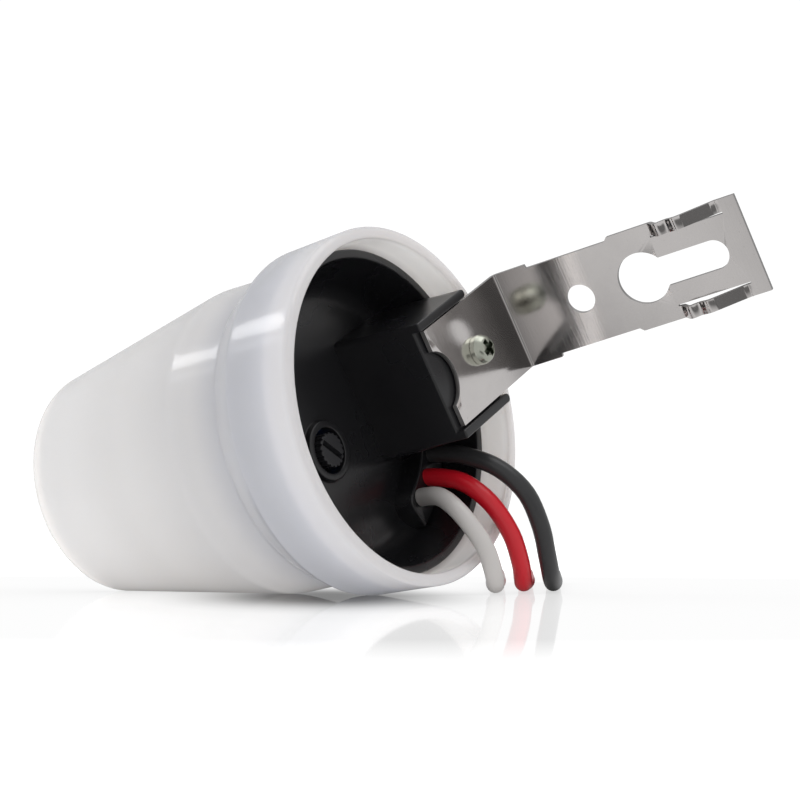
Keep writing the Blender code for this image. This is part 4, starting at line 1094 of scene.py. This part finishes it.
class PHOTOCELL_OT_stage(bpy.types.Operator):
    """Lays the white floor and sets the studio light"""
    bl_idname = "photocell.stage"
    bl_label = "Stage"

    def execute(self, context):
        values = settings().stage
        scene = context.scene
        scene.view_settings.view_transform = "Standard"
        scene.view_settings.look = "None"
        self.lay_floor(values)
        self.set_surround(scene, values)
        self.add_lamps(values)
        return {"FINISHED"}

    def lay_floor(self, values):
        """A large white disc; the camera, glossy rays and diffuse rays each see a tone of their own."""
        grid = turned(np.array([(radius, 0.0) for radius in FLOOR_RINGS]), 64)
        mesh = clean_mesh("floor", grid.reshape(-1, 3) * MM, grid_faces(*grid.shape[:2]).tolist(), 1e-6, 1e-7,
                          outwards=False)
        item = placed("floor", mesh)
        material = bpy.data.materials.new("white_floor")
        material.use_nodes = True
        tree = material.node_tree
        tree.nodes.clear()
        out = tree.nodes.new("ShaderNodeOutputMaterial")
        place = tree.nodes.new("ShaderNodeTexCoord").outputs["Object"]
        hiding = new_node(tree, "ShaderNodeAmbientOcclusion", {"Distance": HIDING_REACH}, samples=8)
        open_share = hiding.outputs["AO"]
        rays = tree.nodes.new("ShaderNodeLightPath").outputs
        glossy = self.floor_in_mirrors(tree, place, open_share, values)
        indirect = mix_shader(tree, rays["Is Glossy Ray"], self.floor_as_light(tree, values), glossy)
        seen = self.floor_in_view(tree, place, open_share, values)
        mix = mix_shader(tree, rays["Is Camera Ray"], indirect, seen)
        tree.links.new(mix, out.inputs["Surface"])
        mesh.materials.append(material)

    def floor_in_view(self, tree, place, open_share, values):
        """What the camera sees: white with the contact shadow, and a mirror image that fades with distance."""
        oval = {"Vector": place, "Location": SHADOW_PLACE, "Rotation": (0, 0, SHADOW_TURN), "Scale": SHADOW_SIZE}
        oval = new_node(tree, "ShaderNodeMapping", oval, vector_type="TEXTURE")
        far = vector_node(tree, "LENGTH", oval.outputs["Vector"])["Value"]
        stops = [(position, (value, value, value)) for position, value in SHADE_CURVE]
        shadow = colour_ramp(tree, math_node(tree, "MULTIPLY", far, 0.5), stops)
        shade = map_range(tree, open_share, 0.0, 1.0, HIDDEN_SHADE, 1.0)
        shade = math_node(tree, "MULTIPLY", shade, shadow)
        glow = emission(tree, math_node(tree, "MULTIPLY", shade, values.floor_white))
        gloss = new_node(tree, "ShaderNodeBsdfGlossy", {"Roughness": MIRROR_ROUGHNESS})
        fade = map_range(tree, vector_node(tree, "LENGTH", place)["Value"], *MIRROR_FADE, values.mirror, 0.0)
        return mix_shader(tree, fade, glow, gloss.outputs[0])

    def floor_in_mirrors(self, tree, place, open_share, values):
        """What glossy pieces mirror: a plain level, darker in the unlit part and close under the switch."""
        away = vector_node(tree, "DISTANCE", place, DARK_PLACE)["Value"]
        dark = map_range(tree, away, *DARK_EDGES, DARK_LEVEL, values.mirrored)
        under = map_range(tree, open_share, *UNDER_EDGES, UNDER_LEVEL, 1.0)
        return emission(tree, math_node(tree, "MULTIPLY", dark, under))

    def floor_as_light(self, tree, values):
        """What lights the pieces from below: half a matt floor, half an even glow."""
        matt = new_node(tree, "ShaderNodeBsdfDiffuse", {"Color": (FLOOR_TONE, FLOOR_TONE, FLOOR_TONE)})
        return mix_shader(tree, 0.5, matt.outputs[0], emission(tree, values.floor_bounce))

    def set_surround(self, scene, values):
        """A white surround that the pieces mirror as a soft gradient."""
        world = bpy.data.worlds.new("surround")
        scene.world = world
        world.use_nodes = True
        tree = world.node_tree
        sky = tree.nodes["Background"]
        height = split_node(tree, tree.nodes.new("ShaderNodeTexCoord").outputs["Generated"])["Z"]
        height = map_range(tree, height, -1, 1, 0, 1)
        tone = colour_ramp(tree, height, SURROUND_TONES)
        tree.links.new(tone, sky.inputs["Color"])
        rays = tree.nodes.new("ShaderNodeLightPath").outputs
        level = map_range(tree, rays["Is Glossy Ray"], 0.0, 1.0, values.surround,
                          values.surround * values.mirrored)
        tree.links.new(level, sky.inputs["Strength"])
        white = new_node(tree, "ShaderNodeBackground", {"Color": (1, 1, 1), "Strength": BACKDROP})
        mix = mix_shader(tree, rays["Is Camera Ray"], sky.outputs[0], white.outputs[0])
        tree.links.new(mix, tree.nodes["World Output"].inputs["Surface"])

    def add_lamps(self, values):
        """Soft boxes around the switch, all turned towards it."""
        aim = Vector(LAMP_AIM)
        for name, azimuth, elevation, size, radiance in LAMPS:
            azimuth, elevation = math.radians(azimuth), math.radians(elevation)
            flat = math.cos(elevation)
            away = Vector((math.cos(azimuth) * flat, math.sin(azimuth) * flat, math.sin(elevation)))
            lamp = bpy.data.lights.new(name, "AREA")
            lamp.shape = "RECTANGLE"
            lamp.size, lamp.size_y = size
            lamp.energy = radiance * math.pi * size[0] * size[1] * values.light
            item = placed(name, lamp)
            item.location = away * LAMP_DISTANCE + aim
            item.rotation_euler = (-away).to_track_quat("-Z", "Y").to_euler()


class PhotocellSettings(bpy.types.PropertyGroup):
    """All settings of the photocell switch."""
    cap: PointerProperty(type=CapSettings)
    base: PointerProperty(type=BaseSettings)
    bracket: PointerProperty(type=BracketSettings)
    leads: PointerProperty(type=LeadSettings)
    stage: PointerProperty(type=StageSettings)


OPERATORS = (PHOTOCELL_OT_camera, PHOTOCELL_OT_leads, PHOTOCELL_OT_cap, PHOTOCELL_OT_base, PHOTOCELL_OT_bracket,
             PHOTOCELL_OT_adjuster, PHOTOCELL_OT_inside, PHOTOCELL_OT_stage)


class PHOTOCELL_PT_panel(bpy.types.Panel):
    """Lists the pieces and their settings"""
    bl_label = "Photocell switch"
    bl_idname = "PHOTOCELL_PT_panel"
    bl_space_type = "VIEW_3D"
    bl_region_type = "UI"
    bl_category = "Photocell"

    def draw(self, context):
        values = context.scene.photocell
        for part in ("cap", "base", "bracket", "leads", "stage"):
            box = self.layout.box()
            group = getattr(values, part)
            for name in group.__annotations__:
                box.prop(group, name)
        for operator in OPERATORS:
            self.layout.operator(operator.bl_idname)


CLASSES = (CapSettings, BaseSettings, BracketSettings, LeadSettings, StageSettings, PhotocellSettings, *OPERATORS,
           PHOTOCELL_PT_panel)


def register():
    """Registers the classes and hangs the settings on the scene."""
    for item in CLASSES:
        bpy.utils.register_class(item)
    bpy.types.Scene.photocell = PointerProperty(type=PhotocellSettings)


def unregister():
    """Takes back what register() did."""
    del bpy.types.Scene.photocell
    for item in reversed(CLASSES):
        bpy.utils.unregister_class(item)


def main():
    """Builds everything in order."""
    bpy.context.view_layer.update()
    register()
    for operator in OPERATORS:
        group, name = operator.bl_idname.split(".")
        getattr(getattr(bpy.ops, group), name)()


if __name__ == "__main__":
    main()
